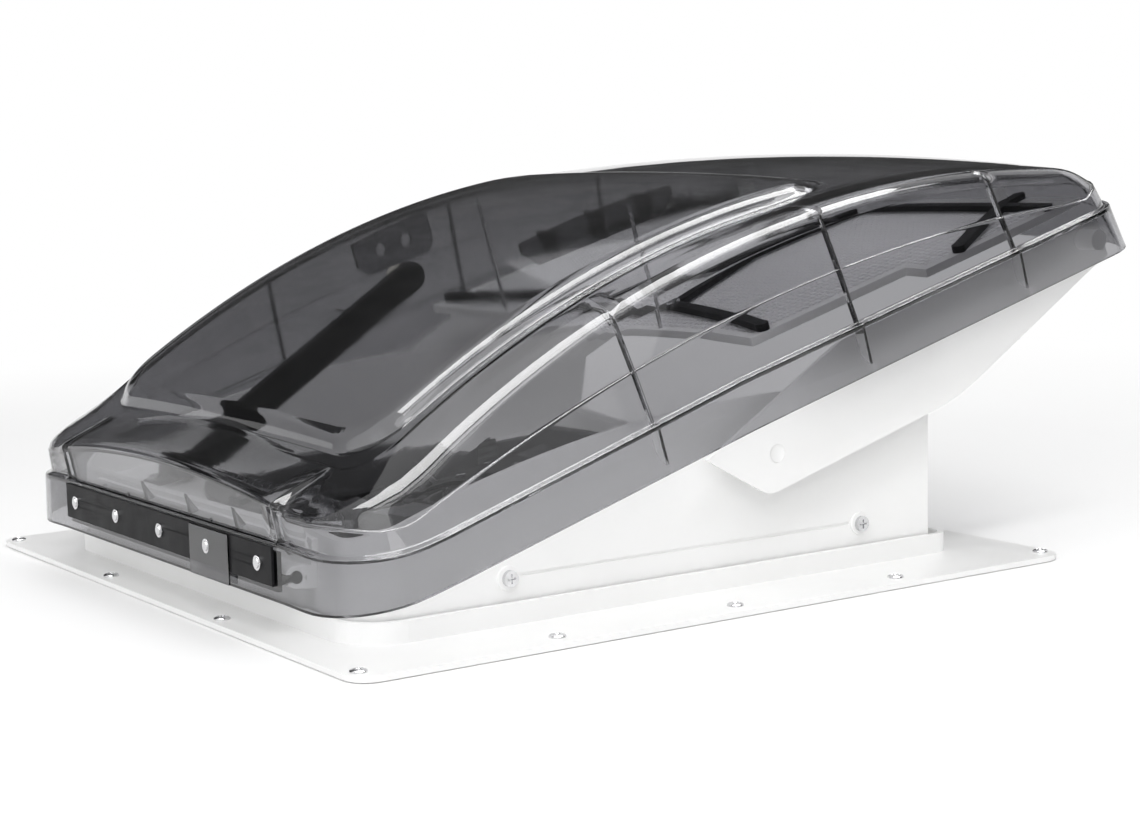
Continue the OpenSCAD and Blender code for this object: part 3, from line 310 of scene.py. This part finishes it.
REAR_STEPS = 10
SIDE_START = 60.0
SIDE_END = 505.0
SIDE_STEPS = 64
SIDE_MARGIN = 1.0
ROUND_STEPS = 4
ROUND_LIMIT = 0.45
TINY = 1e-6
GROOVE_STEPS = 8
TOP_STEPS = 12
LID_SHARP_DEG = 50.0
RIB_U = (190.0, 333.0, 455.0)
RIB_HALF = 0.5
RIB_FLANK = 0.4
RIB_OUT = 0.7
RIB_LOW = 6.0
RIB_CLEAR = 4.0
RIB_NEAR = 0.1
BEAD_WIDTH = 4.0
BEAD_OUT = 0.8
BEAD_LIFT = 2.0
BEAD_SHARES = (0.3, 0.7)


def dip_share(u, v):
    """How far the skirt dips at a front corner, from 0 to 1."""
    return limit((abs(v) - BULGE_HALF) / (LID_HALF - BULGE_HALF)) ** 2 * limit((DIP_END - u) / DIP_RUN)


def edge_z(u, v):
    """Lower edge of the skirt."""
    return EDGE_Z - EDGE_DIP * dip_share(u, v)


def ledge_z(u, v):
    """Top of the skirt."""
    return LEDGE_Z - LEDGE_DIP * dip_share(u, v)


def crease_z(u, v):
    """Curved line along the lid's side."""
    rear = CREASE_LOW + CREASE_REAR_LIFT * limit((u - CREASE_REAR_START * LID_L) / (CREASE_REAR_RUN * LID_L))
    side = max(ledge_z(u, v) + rear, LEDGE_Z + CREASE_RISE * (1 - ((u - CREASE_MID) / CREASE_SPAN) ** 2))
    front = limit((CREASE_FRONT - u) / CREASE_RUN)
    return side * (1 - front) + (shoulder_z(u) - CREASE_LOW) * front


def shoulder_z(u):
    """Edge where the side turns into the top."""
    return LEDGE_Z + max(SHOULDER_LOW, SHOULDER_RISE - SHOULDER_FALL * ((u - SHOULDER_MID) / SHOULDER_MID) ** 2)


def panel_z(u, v):
    """Raised panel on the top."""
    fall = PANEL_FALL * ((u - LID_L / 2) / (LID_L / 2)) ** 2
    return LEDGE_Z + PANEL_RISE - fall + PANEL_CROWN * (1 - (v / PANEL_HALF) ** 2)


def body_z(u, v):
    """Top round the raised panel."""
    crown = BODY_CROWN * (1 - (v / (LID_HALF - SHOULDER_IN)) ** 2)
    return max(panel_z(u, v) - PANEL_STEP, shoulder_z(u) + crown)


def arch_z(v):
    """Arch of the bulge at the front."""
    return LEDGE_Z + ARCH_RISE + ARCH_CROWN * (1 - (v / BULGE_HALF) ** 2)


def ring_height(kind, u, v, bulge):
    """Height of the lid's outer surface for one kind of ring."""
    if kind == "edge":
        return edge_z(u, v)
    if kind == "rib_foot":
        return edge_z(u, v) + RIB_LOW
    if kind == "skirt":
        return ledge_z(u, v)
    if kind == "ledge":
        return ledge_z(u, v) + LEDGE_STEP
    if kind == "crease":
        return arch_z(v) - CREASE_LOW if bulge else crease_z(u, v)
    if kind == "crease_lip":
        return ring_height("crease", u, v, bulge) + CREASE_LIP_RISE
    if kind == "shoulder":
        return arch_z(v) if bulge else shoulder_z(u)
    if kind == "body":
        return max(arch_z(v) + BODY_OVER_ARCH, body_z(u, v)) if bulge else body_z(u, v)
    return panel_z(u, v)


def between(a, b, steps):
    """Rings spaced evenly between two rings, both left out."""
    return [(a[0], *(x + (y - x) * k / steps for x, y in zip(a[1:], b[1:]))) for k in range(1, steps)]


# Rings of the lid: kind, front inset, front inset of the bulge, rear inset, side inset, front radius, rear radius,
# extra inset and drop of the inner surface, and length of the rounding
GROOVE = ("body", 43, 43, 40, 40, 26, 18, 1, LID_T, 9)
PANEL_FOOT = ("body", 50, 50, 180, 47, 32, 22, 2.5, LID_T, 6)
PANEL_EDGE = ("panel", 55, 55, 185, 52, 30, 20, LID_T, LID_T, 9)
PANEL_MIDDLE = ("panel", 140, 140, 260, 197, 5, 5, 0, LID_T, 4)
LID_RINGS = [
    ("edge", -LEAN_RUN, -LEAN_RUN, 0, 0, 45, 22, LID_T, 0, 0),
    ("rib_foot", -LEAN_RUN * 4 / 7, -LEAN_RUN * 4 / 7, 1.5, 0, 45, 22, LID_T, 0, 1),
    ("skirt", LEAN_RUN, LEAN_RUN, 7, 0, 45, 22, LID_T, LID_T, 0.9),
    ("ledge", LEAN_RUN + 4, LEAN_RUN + 2.5, 9, LEDGE_IN, 42, 20, LID_T, LID_T, 0.9),
    ("crease", LEAN_RUN + 5.2, LEAN_RUN + 3.8, 10, CREASE_IN - CREASE_LIP, 40, 19, LID_T, 1.5, 0.9),
    ("crease_lip", LEAN_RUN + 5.5, LEAN_RUN + 4, 10.6, CREASE_IN, 39.5, 18.6, LID_T - 1, 1.5, 0.9),
    ("shoulder", LEAN_RUN + 7, LEAN_RUN + 6, 21, SHOULDER_IN, 36, 16, 2.5, 2, 9),
    GROOVE,
    *between(GROOVE, PANEL_FOOT, GROOVE_STEPS),
    PANEL_FOOT,
    PANEL_EDGE,
    *between(PANEL_EDGE, PANEL_MIDDLE, TOP_STEPS),
    PANEL_MIDDLE,
]
RIB_RINGS = ("rib_foot", "skirt", "ledge", "crease", "crease_lip", "shoulder")


def side_stops():
    """Distances along the lid's side, with pairs of stops at each rib."""
    stops = [SIDE_START + (SIDE_END - SIDE_START) * k / SIDE_STEPS for k in range(SIDE_STEPS + 1)]
    stops = [u for u in stops if all(abs(u - r) > RIB_CLEAR for r in RIB_U)]
    for r in RIB_U:
        stops += [r - RIB_HALF - RIB_FLANK, r - RIB_HALF, r + RIB_HALF, r + RIB_HALF + RIB_FLANK]
    return sorted(stops)


SIDE_STOPS = side_stops()


def half_ring(ring, inner):
    """Points of half a ring as (u, v, z), from the middle of the front to the middle of the rear."""
    kind, front, front_bulge, rear, side, r_front, r_rear, more, drop = ring[:9]
    if not inner:
        more = drop = 0
    u0, ub, u1 = front + more, front_bulge + more, LID_L - rear - more
    vh = LID_HALF - side - more
    rf, rr = max(CORNER_MIN, r_front - more), max(CORNER_MIN, r_rear - more)
    scale = min(1, (vh - rf - CORNER_GAP) / (BULGE_HALF + BULGE_BLEND))
    bow = PANEL_BOW if ring is PANEL_MIDDLE else 0
    flat = []
    bead = BEAD_OUT if kind in ("ledge", "crease", "crease_lip", "shoulder") and not inner else 0
    lift = BEAD_LIFT if kind == "crease_lip" and not inner else bead
    for k in range(BULGE_STOPS + 1):
        v = (BULGE_HALF - BULGE_BLEND - BEAD_WIDTH) * k / BULGE_STOPS
        flat.append((ub - bow * (1 - (k / (BULGE_STOPS + 2)) ** 2), v * scale, True, 0))
    for share in BEAD_SHARES:
        v = BULGE_HALF - BULGE_BLEND - BEAD_WIDTH * (1 - share)
        flat.append((ub - bead, v * scale, True, lift))
    flat.append((ub, (BULGE_HALF - BULGE_BLEND) * scale, True, 0))
    beside = u0 - bow * (1 - ((BULGE_STOPS + 1) / (BULGE_STOPS + 2)) ** 2)
    flat.append((beside, (BULGE_HALF + BULGE_BLEND) * scale, False, 0))
    for k in range(CORNER_STEPS + 1):
        a = math.pi / 2 * k / CORNER_STEPS
        flat.append((u0 + rf * (1 - math.cos(a)), vh - rf * (1 - math.sin(a)), False, 0))
    low, high = u0 + rf, u1 - rr
    run = SIDE_END - SIDE_START + 2 * SIDE_MARGIN
    wide = low <= SIDE_START and high >= SIDE_END
    for s in SIDE_STOPS:
        u = s if wide else low + (high - low) * (s - SIDE_START + SIDE_MARGIN) / run
        on_rib = min(abs(s - r) for r in RIB_U) < RIB_HALF + RIB_NEAR
        rib = RIB_OUT if wide and not inner and on_rib and kind in RIB_RINGS else 0
        flat.append((u, vh + rib, False, 0))
    for k in range(CORNER_STEPS + 1):
        a = math.pi / 2 * k / CORNER_STEPS
        flat.append((u1 - rr * (1 - math.sin(a)), vh - rr * (1 - math.cos(a)), False, 0))
    for k in range(1, REAR_STEPS + 1):
        t = 1 - k / REAR_STEPS
        flat.append((u1 + bow * (1 - t * t), (vh - rr) * t, False, 0))
    return [Vector((u, v, ring_height(kind, u, v, b) + up - drop)) for u, v, b, up in flat]


def rounded_column(column):
    """One column of ring points with each corner rounded."""
    out = [column[0]]
    for k in range(1, len(column) - 1):
        before, here, after = column[k - 1], column[k], column[k + 1]
        length = LID_RINGS[k][9]
        a = here + (before - here) * min(ROUND_LIMIT, length / max(TINY, (before - here).length))
        b = here + (after - here) * min(ROUND_LIMIT, length / max(TINY, (after - here).length))
        for s in range(ROUND_STEPS + 1):
            t = s / ROUND_STEPS
            out.append(a * (1 - t) ** 2 + here * 2 * t * (1 - t) + b * t * t)
    out.append(column[-1])
    return out


def lid_surface(inner):
    """Rows of points round the whole lid, from the lower edge to the top."""
    halves = [half_ring(r, inner) for r in LID_RINGS]
    columns = [rounded_column([h[i] for h in halves]) for i in range(len(halves[0]))]
    mirrored = [[Vector((p.x, -p.y, p.z)) for p in c] for c in columns[-2:0:-1]]
    columns += mirrored
    return [[c[k] for c in columns] for k in range(len(columns[0]))]


def build_lid():
    """The smoke shell with its outer and inner surface."""
    points, faces = [], []
    starts = []
    for inner in (False, True):
        rows = lid_surface(inner)
        n = len(rows[0])
        base = len(points)
        starts.append(base)
        for row in rows:
            points += [opened((LID_X0 + p.x, p.y, p.z)) for p in row]
        faces += [quad if inner else quad[::-1] for quad in ring_quads(base, len(rows), n)]
        last = base + (len(rows) - 1) * n
        for i in range(n // 2):
            ring = [last + i, last + i + 1, last + (n - i - 1) % n, last + (n - i) % n]
            ring = [q for k, q in enumerate(ring) if q not in ring[:k]]
            faces.append(ring if inner else ring[::-1])
    outer, inner = starts
    for i in range(n):
        j = (i + 1) % n
        faces.append([outer + i, outer + j, inner + j, inner + i])
    lid = add_mesh("lid_shell", points, faces, SMOKE)
    lid.data.set_sharp_from_angle(angle=math.radians(LID_SHARP_DEG))
    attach(lid, "lid_body")
    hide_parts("lid")


build_lid()

# Fins inside the lid's sides, gussets and ticks behind its front, and the tab over the black band
FIN_DEPTH = 9.0
FIN_THIN = 4.0
FIN_HALF = 0.8
FIN_SINK = 1.5
FIN_LOW = 5.0
FIN_DROP = 2.0
FIN_ROUND = 6
GUSSET_V = (26.0, -30.0, -86.0)
TAB_V = (-85.0, -39.0)
TAB_X = -220.5
TAB_LOW = 26.5
TAB_HIGH = 52.5
TAB_HALF = 0.45
GUSSET_IN = 4.5
GUSSET_TIP = 1.0
GUSSET_HALF = 2.0
GUSSET_DEPTH = 5.0
GUSSET_RISE = 11.0
TICK_V = (49.0, -57.0)
TICK_SHAPE = ((0.6, -2.0), (2.2, 2.0), (3.5, -1.0))
TICK_HALF = 0.7


def add_plate(points, faces, outline, offset, place):
    """A flat plate from an outline, drawn twice at plus and minus an offset, added to a mesh."""
    start, n = len(points), len(outline)
    for sign in (-1, 1):
        points += [place(Vector(p) + Vector(offset) * sign) for p in outline]
    faces.append([start + k for k in range(n)][::-1])
    faces.append([start + n + k for k in range(n)])
    for k in range(n):
        j = (k + 1) % n
        faces.append([start + k, start + j, start + n + j, start + n + k])


def fin_outline(u, side):
    """Outline of a fin in the plane across the lid at u, from its rounded foot to the shoulder."""
    low = edge_z(u, LID_HALF) + FIN_LOW
    ledge = ledge_z(u, LID_HALF)
    wall = [(LID_HALF, low + FIN_DEPTH), (LID_HALF, ledge), (LID_HALF - LEDGE_IN, ledge + LEDGE_STEP),
            (LID_HALF - CREASE_IN, crease_z(u, LID_HALF)), (LID_HALF - SHOULDER_IN, shoulder_z(u) - FIN_DROP)]
    outer = [(v - FIN_SINK, z) for v, z in wall]
    inner = [(v - (FIN_THIN if z > ledge else FIN_DEPTH), z - FIN_DROP) for v, z in reversed(wall)]
    foot = []
    for k in range(FIN_ROUND + 1):
        a = math.pi / 2 * k / FIN_ROUND
        foot.append((outer[0][0] - (FIN_DEPTH - FIN_SINK) * math.cos(a),
                     low + FIN_DEPTH * (1 - math.sin(a))))
    return [(LID_X0 + u, side * v, z) for v, z in outer + inner[:-1] + foot]


def build_fins():
    """Stiffening fins on the lid's sides, with the gussets, the ticks and the tab."""
    points, faces = [], []
    for u in RIB_U:
        for side in (-1, 1):
            add_plate(points, faces, fin_outline(u, side), (FIN_HALF, 0, 0), opened)
    front = LID_X0 + LEAN_RUN
    x = front + GUSSET_IN
    for v in GUSSET_V:
        corner = [(x, v, LEDGE_Z), (x + GUSSET_DEPTH, v, LEDGE_Z), (x + GUSSET_TIP, v, LEDGE_Z + GUSSET_RISE)]
        add_plate(points, faces, corner, (0, GUSSET_HALF, 0), opened)
    for v in TICK_V:
        tick = [(front + inset, v, LEDGE_Z + rise) for inset, rise in TICK_SHAPE]
        add_plate(points, faces, tick, (0, TICK_HALF, 0), opened)
    left, right = TAB_V
    corners = ((left, TAB_LOW), (right, TAB_LOW), (right, TAB_HIGH), (left, TAB_HIGH))
    tab = [leaned((TAB_X, v, z)) for v, z in corners]
    add_plate(points, faces, tab, (TAB_HALF, 0, 0), opened)
    fins = add_mesh("lid_fins", points, faces, SMOKE, smooth=False)
    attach(fins, "lid_body")


build_fins()


# Nets
FAR = 1e9
SPAN_JOIN = 0.01
WIRE_SIDES = 4
EXHAUST_PITCH = 3.4
EXHAUST_WIRE = 0.6
EXHAUST_REACH = 330.0
EXHAUST_DEG = 45.0
EXHAUST_END = 0.4
WEAVE_RISE = 0.5
INSECT_PITCH = 4.0
INSECT_WIRE = 0.35
INSECT_CLEAR = 0.3
INSECT_LIFT = 0.3
INSECT_SHORT = 3.0


def clip_to_boxes(p, d, boxes):
    """Spans of the line p + t d that lie inside any of the boxes, as merged (start, end) pairs."""
    spans = []
    for (x0, x1, y0, y1) in boxes:
        low, high = -FAR, FAR
        for value, step, a, b in ((p[0], d[0], x0, x1), (p[1], d[1], y0, y1)):
            t0, t1 = (a - value) / step, (b - value) / step
            low, high = max(low, min(t0, t1)), min(high, max(t0, t1))
        if high > low:
            spans.append((low, high))
    spans.sort()
    merged = []
    for s in spans:
        if merged and s[0] <= merged[-1][1] + SPAN_JOIN:
            merged[-1] = (merged[-1][0], max(merged[-1][1], s[1]))
        else:
            merged.append(s)
    return merged


def add_wire(points, faces, path, radius, place):
    """A tube along a path of points in millimetres, added to a mesh."""
    start = len(points)
    along = (Vector(path[-1]) - Vector(path[0])).normalized()
    side = along.cross(Vector((0, 0, 1))).normalized()
    up = Vector((0, 0, 1))
    for p in path:
        for k in range(WIRE_SIDES):
            a = 2 * math.pi * k / WIRE_SIDES
            points.append(place(Vector(p) + side * (radius * math.cos(a)) + up * (radius * math.sin(a))))
    faces += ring_quads(start, len(path), WIRE_SIDES)
    end = start + (len(path) - 1) * WIRE_SIDES
    faces.append([start + k for k in range(WIRE_SIDES)][::-1])
    faces.append([end + k for k in range(WIRE_SIDES)])


def build_exhaust_net():
    """Woven diamond net that fills the screen frame."""
    boxes = [
        (LID_X0 + SCREEN_FRONT + RAIL, LID_X0 + SCREEN_REAR - RAIL, RAIL - SCREEN_NARROW, SCREEN_NARROW - RAIL),
        (LID_X0 + SCREEN_STEP + RAIL, LID_X0 + SCREEN_REAR - RAIL, RAIL - SCREEN_WIDE, SCREEN_WIDE - RAIL),
    ]
    middle = (LID_X0 + (SCREEN_FRONT + SCREEN_REAR) / 2, 0.0)
    slant = math.radians(EXHAUST_DEG)
    count = int(EXHAUST_REACH / EXHAUST_PITCH)
    points, faces = [], []
    for turn in (1, -1):
        d = (math.cos(slant), turn * math.sin(slant))
        across = (-d[1], d[0])
        for k in range(-count, count + 1):
            p = (middle[0] + across[0] * k * EXHAUST_PITCH, middle[1] + across[1] * k * EXHAUST_PITCH)
            for low, high in clip_to_boxes(p, d, boxes):
                crossings = range(int(low / EXHAUST_PITCH) - 1, int(high / EXHAUST_PITCH) + 2)
                stops = [EXHAUST_PITCH * m for m in crossings]
                stops = [low] + [t for t in stops if low + EXHAUST_END < t < high - EXHAUST_END] + [high]
                path = []
                for t in stops:
                    wave = math.cos(math.pi * (t / EXHAUST_PITCH + k)) * turn
                    path.append((p[0] + d[0] * t, p[1] + d[1] * t, SCREEN_Z + WEAVE_RISE * wave))
                add_wire(points, faces, path, EXHAUST_WIRE, opened)
    net = add_mesh("exhaust_net", points, faces, MESH_METAL)
    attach(net, "lid_body")
    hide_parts("exhaust_screen")


build_exhaust_net()


def build_insect_net():
    """Fine square net inside its ring."""
    points, faces = [], []
    count = int(INSECT_R / INSECT_PITCH)
    for k in range(-count, count + 1):
        c = k * INSECT_PITCH
        h = math.sqrt(INSECT_R ** 2 - c ** 2) - INSECT_CLEAR
        if h < INSECT_SHORT:
            continue
        along = [(BASE_X + end * h, c, INSECT_Z - INSECT_LIFT) for end in (-1, 1)]
        across = [(BASE_X + c, end * h, INSECT_Z + INSECT_LIFT) for end in (-1, 1)]
        add_wire(points, faces, along, INSECT_WIRE, metres)
        add_wire(points, faces, across, INSECT_WIRE, metres)
    net = add_mesh("insect_net", points, faces, MESH_METAL)
    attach(net, "vent")
    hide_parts("insect_screen")


build_insect_net()

# Screw heads in the flange
HEAD_R = 4.4
HEAD_H = 1.9
HEAD_SIDES = 32
HEAD_EDGE = 0.5
HEAD_DOME_DEG = 80.0
HEAD_DOME_STEPS = 7
HEAD_TURN = 0.7
HEAD_SHARP_DEG = 45.0
CROSS_HALF = 0.55
CROSS_REACH = 2.2
CROSS_DEPTH = 1.1


def head_profile():
    """Radius and height steps of a round screw head, from the plate up to the middle."""
    steps = [(HEAD_R, 0.0), (HEAD_R, HEAD_EDGE)]
    for k in range(1, HEAD_DOME_STEPS + 1):
        a = math.radians(HEAD_DOME_DEG * k / HEAD_DOME_STEPS)
        steps.append((HEAD_R * math.cos(a), HEAD_EDGE + (HEAD_H - HEAD_EDGE) * math.sin(a)))
    return steps


def add_head(points, faces, centre, turn):
    """A domed screw head with a cross recess, added to a mesh."""
    start = len(points)
    steps = head_profile()
    c, s = math.cos(turn), math.sin(turn)
    for r, z in steps:
        for k in range(HEAD_SIDES):
            a = 2 * math.pi * k / HEAD_SIDES
            x, y = r * math.cos(a), r * math.sin(a)
            lx, ly = x * c + y * s, y * c - x * s
            arm = min(abs(lx), abs(ly)) < CROSS_HALF and max(abs(lx), abs(ly)) < CROSS_REACH
            points.append(metres((centre[0] + x, centre[1] + y, centre[2] + z - (CROSS_DEPTH if arm else 0))))
    faces += ring_quads(start, len(steps), HEAD_SIDES)
    top = start + (len(steps) - 1) * HEAD_SIDES
    faces.append([top + k for k in range(HEAD_SIDES)])
    faces.append([start + k for k in range(HEAD_SIDES)][::-1])


def build_flange_screws():
    """Heads of the screws that hold the flange to the roof."""
    places = [(SCREW_X * (k / 2 - 1), s * SCREW_Y) for k in range(5) for s in (-1, 1)]
    places += [(s * SCREW_X, t * SCREW_Y / 3) for s in (-1, 1) for t in (-1, 1)]
    points, faces = [], []
    for k, (x, y) in enumerate(places):
        add_head(points, faces, (x, y, FLANGE_T), HEAD_TURN * k)
    heads = add_mesh("flange_screw_heads", points, faces, STEEL)
    heads.data.set_sharp_from_angle(angle=math.radians(HEAD_SHARP_DEG))
    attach(heads, "vent")


build_flange_screws()

# Dished pressings in the rain shields
DISH_U = 270.0
DISH_Z = 2.0
DISH_Y = 190.0
DISH_STEPS = ((4.9, 0.0), (4.5, 0.2), (3.4, 0.75))
DISH_SIDES = 32
SHIELD_BODIES = {1: "rain_shield_left_body", -1: "rain_shield_right_body"}


def build_dish(name, side):
    """A shallow dish that lines the round recess of one shield."""
    points = []
    for r, depth in DISH_STEPS:
        for k in range(DISH_SIDES):
            a = 2 * math.pi * k / DISH_SIDES
            points.append(opened((LID_X0 + DISH_U + r * math.cos(a), side * (DISH_Y - depth),
                                  DISH_Z + r * math.sin(a))))
    bottom = [(len(DISH_STEPS) - 1) * DISH_SIDES + k for k in range(DISH_SIDES)]
    faces = ring_quads(0, len(DISH_STEPS), DISH_SIDES) + [bottom]
    if side > 0:
        faces = [face[::-1] for face in faces]
    dish = add_mesh(name, points, faces, WHITE)
    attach(dish, SHIELD_BODIES[side])


build_dish("shield_dish_left", 1)
build_dish("shield_dish_right", -1)

# CAD nodes that show: material by slot, and softened edges
SOFT_EDGES = {
    "mounting_flange": 0.9, "base_housing": 0.7, "rain_shield_left": 0.6, "rain_shield_right": 0.6,
    "hinge_strip": 0.4, "hinge_channel": 0.4, "side_screws": 0.35, "hinge_rivets": 0.35, "screen_frame": 0.5,
    "screen_brace": 0.5, "lift_arm": 0.6, "hinge_cover": 0.3, "control_box": 0.6, "control_panel": 0.5,
    "fan_shroud": 0.5, "motor_bracket": 0.5, "lift_bearings": 0.5, "lift_motor": 0.8, "insect_screen_frame": 0.6,
    "button_power": 0.6, "button_speed": 0.6, "button_lid": 0.6, "arm_shoe": 0.5, "lift_bracket": 0.4,
    "fan_impeller": 0.4, "ceiling_rib": 0.3,
}
WELD_GAP = 0.00002
BEVEL_SEGMENTS = 2
BEVEL_DEG = 40.0


def soften(obj, width):
    """Rounds a CAD node's edges without changing its mesh."""
    weld = obj.modifiers.new("weld", "WELD")
    weld.merge_threshold = WELD_GAP
    bevel = obj.modifiers.new("soft_edges", "BEVEL")
    bevel.width = width * MM
    bevel.segments = BEVEL_SEGMENTS
    bevel.limit_method = "ANGLE"
    bevel.angle_limit = math.radians(BEVEL_DEG)
    bevel.use_clamp_overlap = True
    bevel.harden_normals = True


for entry in frame["record"]["subparts"]:
    node = nodes[entry["node"]]
    node.data.materials.clear()
    node.data.materials.append(SLOT_MATERIALS[entry["material_slot"]])
    if entry["node"] in SOFT_EDGES:
        soften(node, SOFT_EDGES[entry["node"]])
nodes["ceiling_rib"].data.materials[0] = RIB_SMOKE

# Stage, light and camera
scene = bpy.context.scene
scene.view_settings.view_transform = "Standard"
FLOOR_NEAR = 0.55
FLOOR_FAR = 1.3
FLOOR_HALF = 30.0
FLOOR_Z = -0.0005
WORLD_SOFT = 0.62


def background_rays(tree):
    """1 for rays that show the background: from the camera, off metal and through the lid."""
    path = tree.nodes.new("ShaderNodeLightPath")
    value = path.outputs["Is Camera Ray"]
    for other in ("Is Glossy Ray", "Is Transmission Ray"):
        value = combine(tree, "MAXIMUM", value, path.outputs[other])
    return value


def build_floor():
    """Pale floor that takes the vent's shadow and turns to plain white farther out."""
    mat, tree, shader, coords = new_material("pale_floor")
    tree.links.new(ramp(tree, noise(tree, coords, 1.5), (0.93, 0.93, 0.93), (0.95, 0.95, 0.95)),
                   shader.inputs["Base Color"])
    shader.inputs["Roughness"].default_value = 0.9
    length = tree.nodes.new("ShaderNodeVectorMath")
    length.operation = "LENGTH"
    tree.links.new(coords, length.inputs[0])
    far = tree.nodes.new("ShaderNodeMapRange")
    far.interpolation_type = "SMOOTHSTEP"
    far.inputs["From Min"].default_value = FLOOR_NEAR
    far.inputs["From Max"].default_value = FLOOR_FAR
    tree.links.new(length.outputs["Value"], far.inputs["Value"])
    share = combine(tree, "MULTIPLY", far.outputs["Result"], background_rays(tree))
    white = tree.nodes.new("ShaderNodeEmission")
    mix = tree.nodes.new("ShaderNodeMixShader")
    tree.links.new(share, mix.inputs["Fac"])
    tree.links.new(shader.outputs["BSDF"], mix.inputs[1])
    tree.links.new(white.outputs["Emission"], mix.inputs[2])
    tree.links.new(mix.outputs["Shader"], tree.nodes["Material Output"].inputs["Surface"])
    corners = [(x * FLOOR_HALF, y * FLOOR_HALF, FLOOR_Z) for x, y in ((-1, -1), (1, -1), (1, 1), (-1, 1))]
    floor = add_mesh("floor", corners, [[0, 1, 2, 3]], mat, smooth=False)


build_floor()


def build_world():
    """White background, with a softer grey for the light on the object."""
    world = bpy.data.worlds.new("studio")
    scene.world = world
    world.use_nodes = True
    tree = world.node_tree
    tree.nodes.clear()
    out = tree.nodes.new("ShaderNodeOutputWorld")
    mix = tree.nodes.new("ShaderNodeMixShader")
    for socket, strength in ((1, WORLD_SOFT), (2, 1.0)):
        back = tree.nodes.new("ShaderNodeBackground")
        back.inputs["Color"].default_value = (1.0, 1.0, 1.0, 1.0)
        back.inputs["Strength"].default_value = strength
        tree.links.new(back.outputs["Background"], mix.inputs[socket])
    tree.links.new(background_rays(tree), mix.inputs["Fac"])
    tree.links.new(mix.outputs["Shader"], out.inputs["Surface"])


build_world()


def build_card(name, corners):
    """A dark studio card that the camera sees only in reflections and through the lid."""
    mat, tree, shader, coords = new_material(name)
    tree.links.new(ramp(tree, noise(tree, coords, 2.0), (0.05, 0.05, 0.05), (0.08, 0.08, 0.08)),
                   shader.inputs["Base Color"])
    shader.inputs["Roughness"].default_value = 0.95
    card = add_mesh(name, corners, [[0, 1, 2, 3]], mat, smooth=False)
    card.visible_camera = False


build_card("far_card", [(-12.0, 8.0, 1.2), (16.0, 8.0, 1.2), (16.0, 8.0, 14.0), (-12.0, 8.0, 14.0)])
build_card("side_card", [(3.0, -6.0, 0.3), (3.0, -0.8, 0.3), (3.0, -0.8, 4.0), (3.0, -6.0, 4.0)])


def area_light(name, place, target, size, power, in_gloss=True, gloss_only=False):
    """A rectangular lamp that faces a target, left out of reflections or seen in them alone."""
    data = bpy.data.lights.new(name, "AREA")
    data.shape = "RECTANGLE"
    data.size, data.size_y = size
    data.energy = power
    lamp = bpy.data.objects.new(name, data)
    scene.collection.objects.link(lamp)
    lamp.location = place
    lamp.rotation_euler = (Vector(target) - Vector(place)).to_track_quat("-Z", "Y").to_euler()
    lamp.visible_glossy = in_gloss
    lamp.visible_diffuse = not gloss_only
    lamp.visible_transmission = not gloss_only


area_light("key_softbox", (-1.3, -2.2, 2.0), (0.0, 0.0, 0.1), (1.8, 1.8), 26.5)
area_light("strip_softbox", (0.35, -1.1, 2.3), (0.1, 0.0, 0.1), (3.0, 0.35), 20.0)
area_light("gloss_strip", (0.15, -0.25, 1.8), (0.15, -0.2, 0.1), (2.1, 0.9), 76.0, gloss_only=True)
area_light("front_fill", (-1.9, -0.5, 1.2), (-0.2, 0.0, 0.05), (1.2, 0.9), 10.0, in_gloss=False)
area_light("rear_fill", (1.2, 1.4, 1.9), (0.1, 0.0, 0.1), (1.6, 1.2), 14.0, in_gloss=False)

# Camera fitted to the photograph: pixels, degrees and millimetres
PHOTO_W = 1140.0
FOCAL_PX = 2246.62
YAW, PITCH, ROLL = 55.9125, 7.5719, -1.2944
CAMERA_AT = (-704.267, -1108.6, 252.019)
SENSOR_W = 36.0
NEAR_CLIP = 0.05


def build_camera():
    """Camera at the photograph's viewing angle."""
    data = bpy.data.cameras.new("camera")
    data.sensor_fit = "HORIZONTAL"
    data.sensor_width = SENSOR_W
    data.lens = SENSOR_W * FOCAL_PX / PHOTO_W
    data.clip_start = NEAR_CLIP
    camera = bpy.data.objects.new("camera", data)
    scene.collection.objects.link(camera)
    yaw, pitch, roll = (math.radians(a) for a in (YAW, PITCH, ROLL))
    ahead = Vector((math.cos(yaw) * math.cos(pitch), math.sin(yaw) * math.cos(pitch), -math.sin(pitch)))
    right = Vector((math.sin(yaw), -math.cos(yaw), 0.0))
    up = right.cross(ahead)
    right, up = right * math.cos(roll) + up * math.sin(roll), up * math.cos(roll) - right * math.sin(roll)
    turn = Matrix((right, up, -ahead)).transposed().to_4x4()
    camera.matrix_world = Matrix.Translation(metres(CAMERA_AT)) @ turn
    scene.camera = camera


build_camera()
